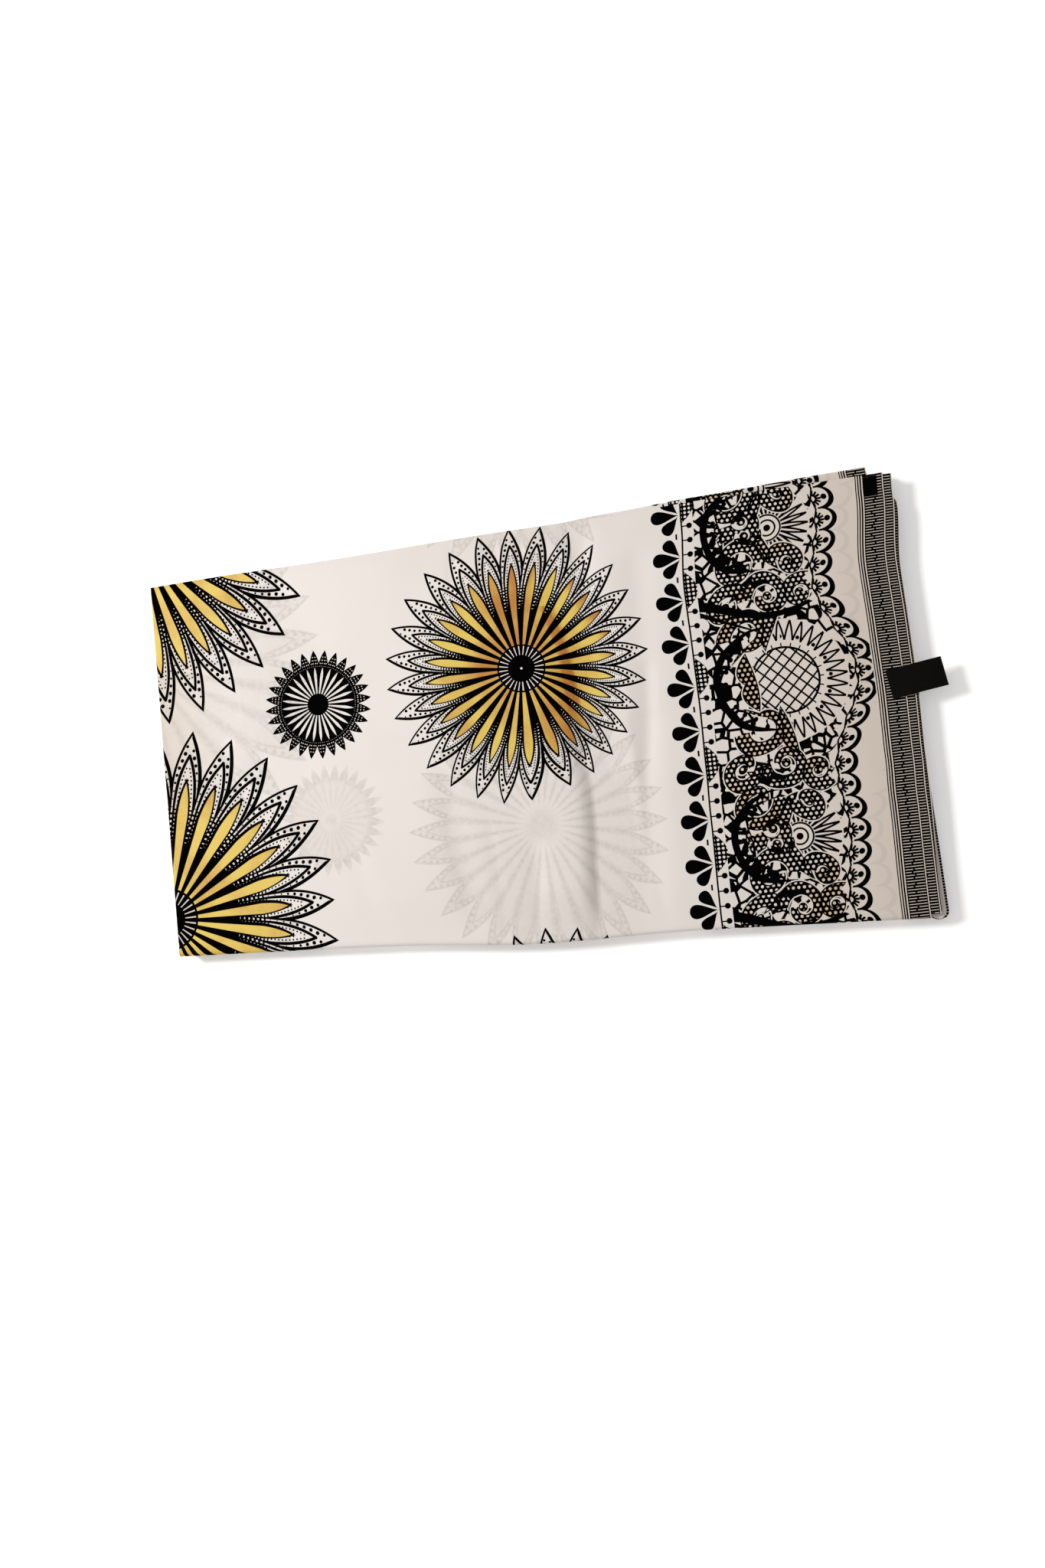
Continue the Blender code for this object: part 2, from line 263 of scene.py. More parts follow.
def front_y(x: float) -> float:
    """The outermost line of the front fold, which slants across the width."""
    share = min(max((x - FOLD_X) / CLOTH_HALF_WIDTH, 0.0), 1.0)
    return FRONT_LEFT_Y + (FRONT_RIGHT_Y - FRONT_LEFT_Y) * share


def top_front_y(x: float) -> float:
    """The top sheet's own front fold, which bulges out in the middle."""
    away = (x - BULGE_X) / BULGE_REACH
    return front_y(x) - BULGE * math.exp(-away * away)


def back_fold_y(x: float) -> float:
    """The outermost line of the second panel's back fold."""
    return RAW_END_Y + edge_out(BACK_FOLD, x - FOLD_X)


def raw_end_y(x: float) -> float:
    """The top sheet's raw end: a slightly wavy line with a frayed look.

    Args:
        x: Place across the width.

    Returns:
        The place along the panel.
    """
    across = x - FOLD_X
    fray = FRAY * noise.noise(Vector((across / FRAY_LENGTH, 7.0, 0.0)))
    return RAW_END_Y + WAVER * math.sin(across / WAVER_LENGTH) + fray


def top_selvedge_x(y: float) -> float:
    """The top sheet's selvedge."""
    return SELVEDGE_X + edge_out(TOP_SELVEDGE, y)


def second_selvedge_x(y: float) -> float:
    """The second sheet's selvedge, a step outside the top one."""
    return top_selvedge_x(y) + SECOND_STEP + 0.5 * MM * math.sin(y / (37 * MM))


def third_selvedge_x(y: float) -> float:
    """The second panel's selvedge."""
    return SELVEDGE_X + edge_out(THIRD_SELVEDGE, y)


def crease_depth(crease: Crease, across: float, y: float) -> float:
    """How deep a crease is at a point.

    Args:
        crease: The crease.
        across: Distance from the half fold.
        y: Place along the panel.

    Returns:
        The depth in metres.
    """
    run_x, run_y = crease.x1 - crease.x0, crease.y1 - crease.y0
    length = math.hypot(run_x, run_y)
    share = ((across - crease.x0) * run_x + (y - crease.y0) * run_y) / length ** 2
    share = min(max(share, 0.0), 1.0)
    off_x, off_y = across - crease.x0 - run_x * share, y - crease.y0 - run_y * share
    away = math.hypot(off_x, off_y)
    if crease.steep:
        toward = off_x / max(away, 1e-9)
        reach_out = crease.width * (STEEP_REACH + STEEP_REACH_RIGHT * toward)
        power = STEEP_POWER + STEEP_POWER_RIGHT * toward
        return crease.depth * max(1 - (away / reach_out) ** power, 0.0) ** 2
    return crease.depth * math.exp(-((away / (crease.width / 2)) ** 2))


def lift(x: float, y: float) -> float:
    """How far the top sheet stands off its flat place.

    Args:
        x: Place across the width.
        y: Place along the panel.

    Returns:
        The height in metres, nought at the label and level at the edges.
    """
    across = x - FOLD_X
    height = 0.0
    for puff in PUFFS:
        away = math.hypot((across - puff.x) / puff.reach_x, (y - puff.y) / puff.reach_y)
        height += puff.height * math.exp(-away * away)
    height -= max(crease_depth(crease, across, y) for crease in CREASES)
    height = max(height, 0.0) + LEAST_LIFT
    height -= max(crease_depth(crease, across, y) for crease in FINE_CREASES)
    wave = noise.noise(Vector((across / WAVE_LENGTH, y / (WAVE_LENGTH * WAVE_STRETCH), 0.3)))
    height += WAVE_HEIGHT * wave
    at_sides = AT_FOLD.at(across) * AT_SELVEDGE.at(SELVEDGE_X - x)
    return max(height, 0.0) * at_sides * AT_RAW_END.at(RAW_END_Y - y) * AT_FRONT.at(y - front_y(x))


def flat_u(x: float, y: float, selvedge: Callable[[float], float]) -> float:
    """The flat cloth's distance from its centre line, in metres.

    The creases take up some cloth, so the flat distance grows faster across them.

    Args:
        x: Place across the width.
        y: Place along the panel.
        selvedge: Where this sheet's selvedge is, by the place along Y.

    Returns:
        The distance on the flat cloth.
    """
    across = (x - FOLD_X) * CLOTH_HALF_WIDTH / (selvedge(y) - FOLD_X)
    return across + TAKE_UP * smooth_step((across - TAKE_UP_FROM) / TAKE_UP_RUN)


# A column of a sheet: its share of the width, its inset and its height. A spot is a point in
# the model and its place on the flat cloth.
Column = tuple[float, float, float]
Spot = tuple[Vector, tuple[float, float]]


@dataclass
class Sheet:
    """One stretch of thin cloth, made from a primitive grid shaped row by row."""

    name: str
    columns: Sequence[Column]
    rows: int

    def build(self, place: Callable[[int, Column], Spot]) -> bpy.types.Object:
        """Shape the grid and give it the cloth's thickness.

        Args:
            place: Gives a point and its flat place for a row's index and a column.

        Returns:
            The finished object, at the origin.
        """
        across, along = len(self.columns) - 1, self.rows
        bpy.ops.object.select_all(action="DESELECT")
        bpy.ops.mesh.primitive_grid_add(x_subdivisions=across, y_subdivisions=along, size=1.0)
        obj = bpy.context.active_object
        obj.name = obj.data.name = self.name
        mesh = obj.data
        count = len(mesh.vertices)
        flat = np.zeros(count * 3)
        mesh.vertices.foreach_get("co", flat)
        flat = flat.reshape(-1, 3)
        column = np.rint((flat[:, 0] + 0.5) * across).astype(int)
        row = np.rint((flat[:, 1] + 0.5) * along).astype(int)
        points, maps = np.zeros((count, 3)), np.zeros((count, 2))
        for i in range(count):
            point, chart = place(int(row[i]), self.columns[column[i]])
            points[i], maps[i] = point, chart
        mesh.vertices.foreach_set("co", points.ravel())
        corners = np.zeros(len(mesh.loops), dtype=int)
        mesh.loops.foreach_get("vertex_index", corners)
        layer = mesh.uv_layers.active or mesh.uv_layers.new(name="Cloth")
        layer.name = "Cloth"
        layer.uv.foreach_set("vector", maps[corners].astype(np.float32).ravel())
        mesh.update()
        bpy.ops.object.mode_set(mode="EDIT")
        bpy.ops.mesh.select_all(action="SELECT")
        bpy.ops.mesh.normals_make_consistent(inside=False)
        bpy.ops.object.mode_set(mode="OBJECT")
        wall = obj.modifiers.new("Wall", "SOLIDIFY")
        wall.thickness = CLOTH
        wall.offset = 0.0
        wall.use_even_offset = True
        bpy.ops.object.modifier_apply(modifier=wall.name)
        bpy.ops.object.shade_smooth_by_angle(angle=math.radians(50))
        return obj


def spread(count: int, start: float = 0.0) -> list[Column]:
    """Even columns of a flat layer, as shares of the width, with no inset or height."""
    return [(start + (1 - start) * i / count, 0.0, 0.0) for i in range(count + 1)]


@dataclass
class TopCloth:
    """The top sheet: half fold at the left, raw end behind, front fold with its roll."""

    columns: int = 250
    rows: int = 118
    turn_steps: int = 12
    nose_steps: int = 8
    tuck_columns: int = 3
    tuck_rows: int = 2
    nose_radius: float = 1.1 * MM
    tuck: float = 5 * MM
    offset: float = PANEL_HALF - CLOTH / 2

    def section(self) -> list[Column]:
        """The section across the width, from the tucked lower wall round the nose.

        Returns:
            The columns.
        """
        low = self.offset - 2 * self.nose_radius
        points = [(0.0, self.nose_radius + self.tuck * (1 - i / self.tuck_columns), low)
                  for i in range(self.tuck_columns)]
        for i in range(self.nose_steps + 1):
            angle = -math.pi / 2 + math.pi * i / self.nose_steps
            inset = CLOTH / 2 + self.nose_radius * (1 - math.cos(angle))
            points.append((0.0, inset, self.offset - self.nose_radius * (1 - math.sin(angle))))
        start = self.nose_radius / CLOTH_HALF_WIDTH * 2
        return points + [(share, 0.0, self.offset) for share, _, _ in spread(self.columns, start)]

    def spot(self, row: int, column: Column) -> Spot:
        """Where a point of the sheet lies.

        Args:
            row: Rows from the raw end, over the front fold and into its tuck.
            column: The point's column.

        Returns:
            The point and its flat place.
        """
        share, inset, height = column
        along = min(row / self.rows, 1.0)
        guide = RAW_END_Y * (1 - along) + FRONT_RIGHT_Y * along
        x = FOLD_X + inset + (top_selvedge_x(guide) - FOLD_X) * share
        centre_y = top_front_y(x) + TURN_OUTER
        y = raw_end_y(x) * (1 - along) + centre_y * along
        on_top = height > self.offset - 0.1 * MM
        u = flat_u(x, guide, top_selvedge_x) - inset * (0 if on_top else 1)
        if row <= self.rows:
            return Vector((x, y, FIRST_Z + height + lift(x, y))), (u, y)
        step = min(row - self.rows, self.turn_steps)
        angle = math.pi * step / self.turn_steps
        reach_out = TURN_RADIUS + height
        up = lift(x, centre_y) * (1 - step / self.turn_steps)
        tucked = self.tuck * max(row - self.rows - self.turn_steps, 0) / self.tuck_rows
        point = Vector((x, centre_y - reach_out * math.sin(angle) + tucked,
                        FIRST_Z - TURN_RADIUS + reach_out * math.cos(angle) + up))
        return point, (u, centre_y - angle * TURN_OUTER - tucked)

    def build(self) -> bpy.types.Object:
        """Model the sheet.

        Returns:
            The finished piece.
        """
        rows = self.rows + self.turn_steps + self.tuck_rows
        return Sheet("top_cloth", self.section(), rows).build(self.spot)


@dataclass
class UnderCloth:
    """The second sheet: flat, with its selvedge a step outside the top one."""

    columns: int = 60
    rows: int = 50
    drop: float = 0.75 * MM
    edge_drop: float = 0.5 * MM
    edge_reach: float = 12 * MM
    inset_end: float = 1.2 * MM
    inset_fold: float = 2.2 * MM
    print_start: float = 330 * MM

    def spot(self, row: int, column: Column) -> Spot:
        """Where a point of the sheet lies.

        Args:
            row: Rows from the raw end to the front.
            column: The point's column.

        Returns:
            The point and its flat place.
        """
        along = row / self.rows
        guide = RAW_END_Y * (1 - along) + FRONT_RIGHT_Y * along
        start_x = FOLD_X + self.inset_fold
        x = start_x + (second_selvedge_x(guide) - start_x) * column[0]
        y = (raw_end_y(x) - self.inset_end) * (1 - along) + (front_y(x) + TURN_OUTER) * along
        edge = smooth_step((x - SELVEDGE_X) / self.edge_reach)
        z = TOP_Z - self.drop - CLOTH / 2 - self.edge_drop * edge
        return Vector((x, y, z)), (flat_u(x, guide, second_selvedge_x), y + self.print_start)

    def build(self) -> bpy.types.Object:
        """Model the sheet.

        Returns:
            The finished piece.
        """
        return Sheet("under_cloth", spread(self.columns), self.rows).build(self.spot)


@dataclass
class NextFold:
    """The second panel: both layers, with its own half fold and its back fold."""

    columns: int = 70
    rows: int = 60
    turn_steps: int = 8
    nose_steps: int = 8
    half: float = 1.05 * MM
    fold_start: float = 0.008
    recess: float = 1.6 * MM
    clearance: float = 0.3 * MM
    turned: float = 0.58 * math.pi
    print_start: float = 1011 * MM

    def section(self) -> list[Column]:
        """The section: lower selvedge, half fold, upper selvedge.

        Returns:
            The columns.
        """
        shares = [share for share, _, _ in spread(self.columns, self.fold_start)]
        lower = [(share, 0.0, -self.half) for share in reversed(shares)]
        angles = [math.pi * (i / self.nose_steps - 0.5) for i in range(self.nose_steps + 1)]
        nose = [(0.0, CLOTH / 2 + self.half * (1 - math.cos(angle)), self.half * math.sin(angle))
                for angle in angles]
        return lower + nose + [(share, 0.0, self.half) for share in shares]

    def spot(self, row: int, column: Column) -> Spot:
        """Where a point of the sheet lies.

        Args:
            row: Rows from the front, then over the back fold.
            column: The point's column.

        Returns:
            The point and its flat place.
        """
        share, inset, height = column
        middle = STACK_TOP + SEAM + TURN_RADIUS + self.clearance
        along = min(row / self.rows, 1.0)
        guide = FRONT_RIGHT_Y * (1 - along) + (PLAN_DEPTH / 2) * along
        recess = self.recess if height < 0 else 0.0
        x = FOLD_X + inset + (third_selvedge_x(guide) - recess - FOLD_X) * share
        start, end = front_y(x) + 1.5 * TURN_OUTER, back_fold_y(x) - TURN_OUTER
        u = flat_u(x, guide, third_selvedge_x)
        if row <= self.rows:
            y = start + (end - start) * along
            return Vector((x, y, middle + height)), (u, self.print_start - y)
        angle = self.turned * (row - self.rows) / self.turn_steps
        centre = TURN_OUTER - self.half - CLOTH / 2
        reach_out = centre + height
        point = Vector((x, end + reach_out * math.sin(angle),
                        middle - centre + reach_out * math.cos(angle)))
        return point, (u, self.print_start - end - reach_out * angle)

    def build(self) -> bpy.types.Object:
        """Model the sheet.

        Returns:
            The finished piece.
        """
        return Sheet("next_fold", self.section(), self.rows + self.turn_steps).build(self.spot)


@dataclass
class StackFolds:
    """The other panels as one solid whose sides are the real folds and selvedges.

    The insets of the selvedges, front folds and back folds are in millimetres, from the top down.
    """

    rings_per_panel: int = 8
    long_points: int = 150
    side_points: int = 64
    corner_points: int = 8
    corner: float = 4 * MM
    selvedges: tuple[float, ...] = (
        8.0, 6.4, 2.5, 4.5, 6.5, 3.2, 8.8, 7.2, 4.0, 1.8, 7.0, 5.2, 1.5, 3.6, 5.5,
        7.9, 8.4, 4.1, 3.0, 6.1, 6.0, 2.2, 8.0, 5.0, 2.0, 4.4, 7.0, 6.3, 4.5, 2.8)
    fronts: tuple[float, ...] = (0.8, 2.4, 0.4, 1.8, 3.0, 1.2, 2.2, 5.0)
    backs: tuple[float, ...] = (1.5, 3.2, 0.8, 2.6, 1.6, 3.4, 1.0, 2.0)
    inset_share: float = 0.8
    foot: float = 0.4 * MM
    left_nose: float = 0.55
    left_waver: float = 0.5 * MM
    left_waver_length: float = 45 * MM
    right_waver: float = 0.7 * MM
    right_waver_length: float = 60 * MM
    selvedge_lip: float = 0.5 * MM
    fold_waver: float = 0.6 * MM
    fold_waver_length: float = 70 * MM
    edge_print: float = 1.6 * MM

    def outline(self) -> tuple[np.ndarray, np.ndarray]:
        """The ring's base outline, anticlockwise from the front left.

        Returns:
            The points, and their outward directions.
        """
        left, right = FOLD_X + self.corner, SELVEDGE_X - self.corner
        back = RAW_END_Y - self.corner
        corners = ((left, front_y(left) + self.corner), (right, front_y(right) + self.corner),
                   (right, back), (left, back))
        counts = (self.long_points, self.side_points, self.long_points, self.side_points)
        points, outs = [], []
        for i, (centre, count) in enumerate(zip(corners, counts)):
            start = math.pi + i * math.pi / 2
            for j in range(self.corner_points + 1):
                angle = start + math.pi / 2 * j / self.corner_points
                out = Vector((math.cos(angle), math.sin(angle)))
                points.append(Vector(centre) + out * self.corner)
                outs.append(out)
            following = corners[(i + 1) % 4]
            out = Vector((math.cos(start + math.pi / 2), math.sin(start + math.pi / 2)))
            for j in range(1, count):
                share = j / count
                points.append(Vector(centre).lerp(Vector(following), share) + out * self.corner)
                outs.append(out)
        return np.array(points), np.array(outs)

    def build(self) -> bpy.types.Object:
        """Model the stack from a grid wound round into rings, closed and capped.

        Returns:
            The finished piece.
        """
        base, outs = self.outline()
        around, levels = len(base), STACK_PANELS * self.rings_per_panel
        bpy.ops.object.select_all(action="DESELECT")
        bpy.ops.mesh.primitive_grid_add(x_subdivisions=around, y_subdivisions=levels, size=1.0)
        obj = bpy.context.active_object
        obj.name = obj.data.name = "stack_folds"
        mesh = obj.data
        flat = np.zeros(len(mesh.vertices) * 3)
        mesh.vertices.foreach_get("co", flat)
        flat = flat.reshape(-1, 3)
        point = np.rint((flat[:, 0] + 0.5) * around).astype(int)
        ring = np.rint((flat[:, 1] + 0.5) * levels).astype(int)
        places = self.places(base, outs, point % around, ring)
        mesh.vertices.foreach_set("co", places.ravel())
        self.chart(mesh, places, ring)
        mesh.update()
        bpy.ops.object.mode_set(mode="EDIT")
        bpy.ops.mesh.select_all(action="SELECT")
        bpy.ops.mesh.remove_doubles(threshold=0.001 * MM)
        bpy.ops.mesh.fill_holes(sides=0)
        bpy.ops.mesh.select_all(action="SELECT")
        bpy.ops.mesh.normals_make_consistent(inside=False)
        bpy.ops.object.mode_set(mode="OBJECT")
        self.chart_caps(mesh)
        bpy.ops.object.shade_smooth_by_angle(angle=math.radians(60))
        return obj

    def places(self, base: np.ndarray, outs: np.ndarray, point: np.ndarray,
               ring: np.ndarray) -> np.ndarray:
        """Where each vertex lies.

        Args:
            base: The ring's base outline.
            outs: Its outward directions.
            point: Each vertex's place in the ring.
            ring: Each vertex's ring, from the floor up.

        Returns:
            The vertices' places.
        """
        levels = STACK_PANELS * self.rings_per_panel
        from_top = (levels - ring) / self.rings_per_panel
        panel = np.clip(np.floor(from_top - 1e-6), 0, STACK_PANELS - 1).astype(int)
        share = from_top - panel
        xy, out = base[point], outs[point]
        size = STACK_TOP / STACK_PANELS
        nose = 1 - np.sqrt(np.clip(1 - (2 * share - 1) ** 2, 0, 1))
        waver = self.left_waver * (1 + np.sin(xy[:, 1] / self.left_waver_length + panel * 2.4))
        left = size * self.left_nose * nose + waver
        layer = np.clip(np.floor(from_top * 2 - 1e-6), 0, 2 * STACK_PANELS - 1).astype(int)
        within = from_top * 2 - layer
        step = np.array(self.selvedges)[layer] * MM
        waver = self.right_waver * np.sin(xy[:, 1] / self.right_waver_length + layer * 1.9)
        right = -step - waver + self.selvedge_lip * np.abs(2 * within - 1) ** 6
        front = self.pair_inset(from_top, 1.0, self.fronts, xy[:, 0], 1.3)
        back = self.pair_inset(from_top, 0.0, self.backs, xy[:, 0], 4.1)
        foot = np.where(ring == 0, self.foot, 0.0)
        side = np.where(out[:, 0] < 0, left, right) + foot
        end = np.where(out[:, 1] < 0, front, back) + foot
        moved = xy - out * (out[:, 0:1] ** 2 * side[:, None] + out[:, 1:2] ** 2 * end[:, None])
        return np.column_stack([moved, STACK_TOP * ring / levels])

    def pair_inset(self, from_top: np.ndarray, first: float, table: Sequence[float],
                   x: np.ndarray, phase: float) -> np.ndarray:
        """How far the folds that join two panels fall short of the outline.

        Args:
            from_top: Depth below the top, in panels.
            first: The depth of the first fold's middle.
            table: Each fold's own inset, in millimetres.
            x: The place along the fold, for its slight waver.
            phase: Where the waver starts.

        Returns:
            The inset of each point, in metres.
        """
        pair = np.floor((from_top - first + 1 - 1e-6) / 2)
        away = np.clip(np.abs(from_top - first - 2 * pair), 0, 1)
        index = np.clip(pair, 0, len(table) - 1).astype(int)
        size = STACK_TOP / STACK_PANELS
        nose = size * (1 - np.sqrt(1 - away ** 2))
        waver = self.fold_waver * (1 + np.sin(x / self.fold_waver_length + phase * (index + 1)))
        return np.array(table)[index] * MM * self.inset_share + nose + waver

    def chart(self, mesh: bpy.types.Mesh, places: np.ndarray, ring: np.ndarray) -> None:
        """Give each side face its place on the flat cloth, panel by panel.

        Args:
            mesh: The grid, before its seam is merged.
            places: The vertices' places.
            ring: Each vertex's ring.
        """
        corners = np.zeros(len(mesh.loops), dtype=int)
        mesh.loops.foreach_get("vertex_index", corners)
        face_ring = ring[corners].reshape(-1, 4).min(axis=1)
        levels = STACK_PANELS * self.rings_per_panel
        panel = np.repeat((levels - 1 - face_ring) // self.rings_per_panel, 4)
        x, y = places[corners, 0], places[corners, 1]
        u = (x - FOLD_X) / CLOTH_HALF_WIDTH * FLAT_HALF_WIDTH
        turned = np.where(panel % 2 == 0, RAW_END_Y - y, y - FRONT_RIGHT_Y)
        v = (panel + 2) * PANEL_LENGTH + turned
        u = np.minimum(u, FLAT_HALF_WIDTH - self.edge_print)
        layer = mesh.uv_layers.active or mesh.uv_layers.new(name="Cloth")
        layer.name = "Cloth"
        layer.uv.foreach_set("vector", np.column_stack([u, v]).astype(np.float32).ravel())

    def chart_caps(self, mesh: bpy.types.Mesh) -> None:
        """Give the flat top and underside their own plain chart.

        Args:
            mesh: The closed and capped stack.
        """
        layer = mesh.uv_layers["Cloth"].uv
        start = (STACK_PANELS + 2) * PANEL_LENGTH
        for face in mesh.polygons:
            if len(face.vertices) > 4:
                for corner in face.loop_indices:
                    place = mesh.vertices[mesh.loops[corner].vertex_index].co
                    share = (place.x - FOLD_X) / CLOTH_HALF_WIDTH
                    layer[corner].vector = (share * FLAT_HALF_WIDTH, place.y + start)


@dataclass
class Label:
    """The small black label laid over the selvedges, bending down past them."""

    length: float = 41.5 * MM
    width: float = 22.2 * MM
    turn: float = math.radians(8)
    centre_y: float = 5.5 * MM
    drop: float = 3.6 * MM
    bends_from: float = 2 * MM
    curl: float = 0.5 * MM
    bow: float = 0.2 * MM
    wall: float = 0.55 * MM
    rounding: float = 0.15 * MM
    columns: int = 60
    rows: int = 32

    def build(self) -> bpy.types.Object:
        """Model the label from a grid, with a slight curl at its corners.

        Returns:
            The finished piece.
        """
        bpy.ops.object.select_all(action="DESELECT")
        bpy.ops.mesh.primitive_grid_add(x_subdivisions=self.columns, y_subdivisions=self.rows, size=1.0)
        obj = bpy.context.active_object
        obj.name = obj.data.name = "bare_label"
        corner = self.length / 2 * math.cos(self.turn) + self.width / 2 * math.sin(self.turn)
        centre_x = PLAN_WIDTH / 2 - corner
        for vertex in obj.data.vertices:
            share_x, share_y = vertex.co.x, vertex.co.y
            along, across = share_x * self.length, share_y * self.width
            x = centre_x + along * math.cos(self.turn) - across * math.sin(self.turn)
            y = self.centre_y + along * math.sin(self.turn) + across * math.cos(self.turn)
            past = max(x - SELVEDGE_X - self.bends_from, 0.0) / (PLAN_WIDTH / 2 - SELVEDGE_X)
            curl = self.curl * abs(2 * share_y) ** 4 * (0.5 + abs(share_x))
            bow = self.bow * math.sin(share_x * 5.0 + 0.6)
            z = TOP_Z + SEAM + self.wall / 2 + curl + bow * bow / MM - self.drop * past ** 1.5
            vertex.co = (x, y, z)
        wall = obj.modifiers.new("Wall", "SOLIDIFY")
        wall.thickness = self.wall
        wall.offset = 0.0
        bpy.ops.object.modifier_apply(modifier=wall.name)
        rounding = obj.modifiers.new("Rounding", "BEVEL")
        rounding.width = self.rounding
        rounding.segments = 2
        rounding.limit_method = "ANGLE"
        bpy.ops.object.modifier_apply(modifier=rounding.name)
        bpy.ops.object.shade_smooth_by_angle(angle=math.radians(50))
        return obj


class Field:
    """A number worked out at each point of the cloth by a chain of maths nodes."""

    def __init__(self, tree: bpy.types.NodeTree, value: "bpy.types.NodeSocket | float") -> None:
        """Hold a socket, or a plain number, in a tree."""
        self.tree = tree
        self.value = value

    def math(self, operation: str, *others: "Field | float", clamp: bool = False) -> "Field":
        """Add one maths node.

        Args:
            operation: The node's operation.
            others: Its other inputs.
            clamp: Whether the result is kept from 0 to 1.

        Returns:
            The node's result.
        """
        node = self.tree.nodes.new("ShaderNodeMath")
        node.operation = operation
        node.use_clamp = clamp
        for socket, value in zip(node.inputs, (self, *others)):
            if isinstance(value, Field):
                value = value.value
            if isinstance(value, (int, float)):
                socket.default_value = value
            else:
                self.tree.links.new(value, socket)
        return Field(self.tree, node.outputs[0])

    def __add__(self, other: "Field | float") -> "Field":
        """Sum."""
        return self.math("ADD", other)

    def __radd__(self, other: float) -> "Field":
        """Sum with a number before it."""
        return self.math("ADD", other)

    def __sub__(self, other: "Field | float") -> "Field":
        """Difference."""
        return self.math("SUBTRACT", other)

    def __rsub__(self, other: float) -> "Field":
        """A number less this."""
        return Field(self.tree, other).math("SUBTRACT", self)

    def __mul__(self, other: "Field | float") -> "Field":
        """Product."""
        return self.math("MULTIPLY", other)

    def __rmul__(self, other: float) -> "Field":
        """Product with a number before it."""
        return self.math("MULTIPLY", other)

    def __truediv__(self, other: "Field | float") -> "Field":
        """Quotient."""
        return self.math("DIVIDE", other)

    def __abs__(self) -> "Field":
        """Size without sign."""
        return self.math("ABSOLUTE")

    def __pow__(self, power: float) -> "Field":
        """Power."""
        return self.math("POWER", power)

    def __and__(self, other: "Field") -> "Field":
        """Where both cover."""
        return self.math("MULTIPLY", other)

    def __or__(self, other: "Field") -> "Field":
        """Where either covers."""
        return self.math("MAXIMUM", other)

    def less(self, other: "Field | float") -> "Field":
        """1 where this is less than the other."""
        return self.math("LESS_THAN", other)

    def more(self, other: "Field | float") -> "Field":
        """1 where this is more than the other."""
        return self.math("GREATER_THAN", other)

    def low(self, other: "Field | float") -> "Field":
        """The smaller."""
        return self.math("MINIMUM", other)

    def high(self, other: "Field | float") -> "Field":
        """The larger."""
        return self.math("MAXIMUM", other)

    def clamp(self) -> "Field":
        """Kept from 0 to 1."""
        return self.math("ADD", 0.0, clamp=True)

    def root(self) -> "Field":
        """Square root."""
        return self.math("SQRT")

    def wave(self) -> "Field":
        """Cosine."""
        return self.math("COSINE")

    def part(self) -> "Field":
        """What is left over a whole number."""
        return self.math("FRACT")

    def every(self, pitch: float) -> "Field":
        """Distance from the nearest repeat of a pitch, with its sign."""
        return ((self / pitch + 0.5).part() - 0.5) * pitch

    def off(self) -> "Field":
        """What isn't covered."""
        return 1.0 - self

    def blend(self, other: "Field | float", share: "Field") -> "Field":
        """This where share is 0, the other where it is 1."""
        return self + (other - self if isinstance(other, Field) else (-1.0 * self + other)) * share


def reach(x: Field, y: Field) -> Field:
    """Distance from nought."""
    return (x * x + y * y).root()


def turn(y: Field, x: Field) -> Field:
    """Angle in radians."""
    return y.math("ARCTAN2", x)


def pick(pair: tuple[float, float], share: Field) -> Field:
    """The first of a pair where share is 0, the second where it is 1."""
    return share * (pair[1] - pair[0]) + pair[0]


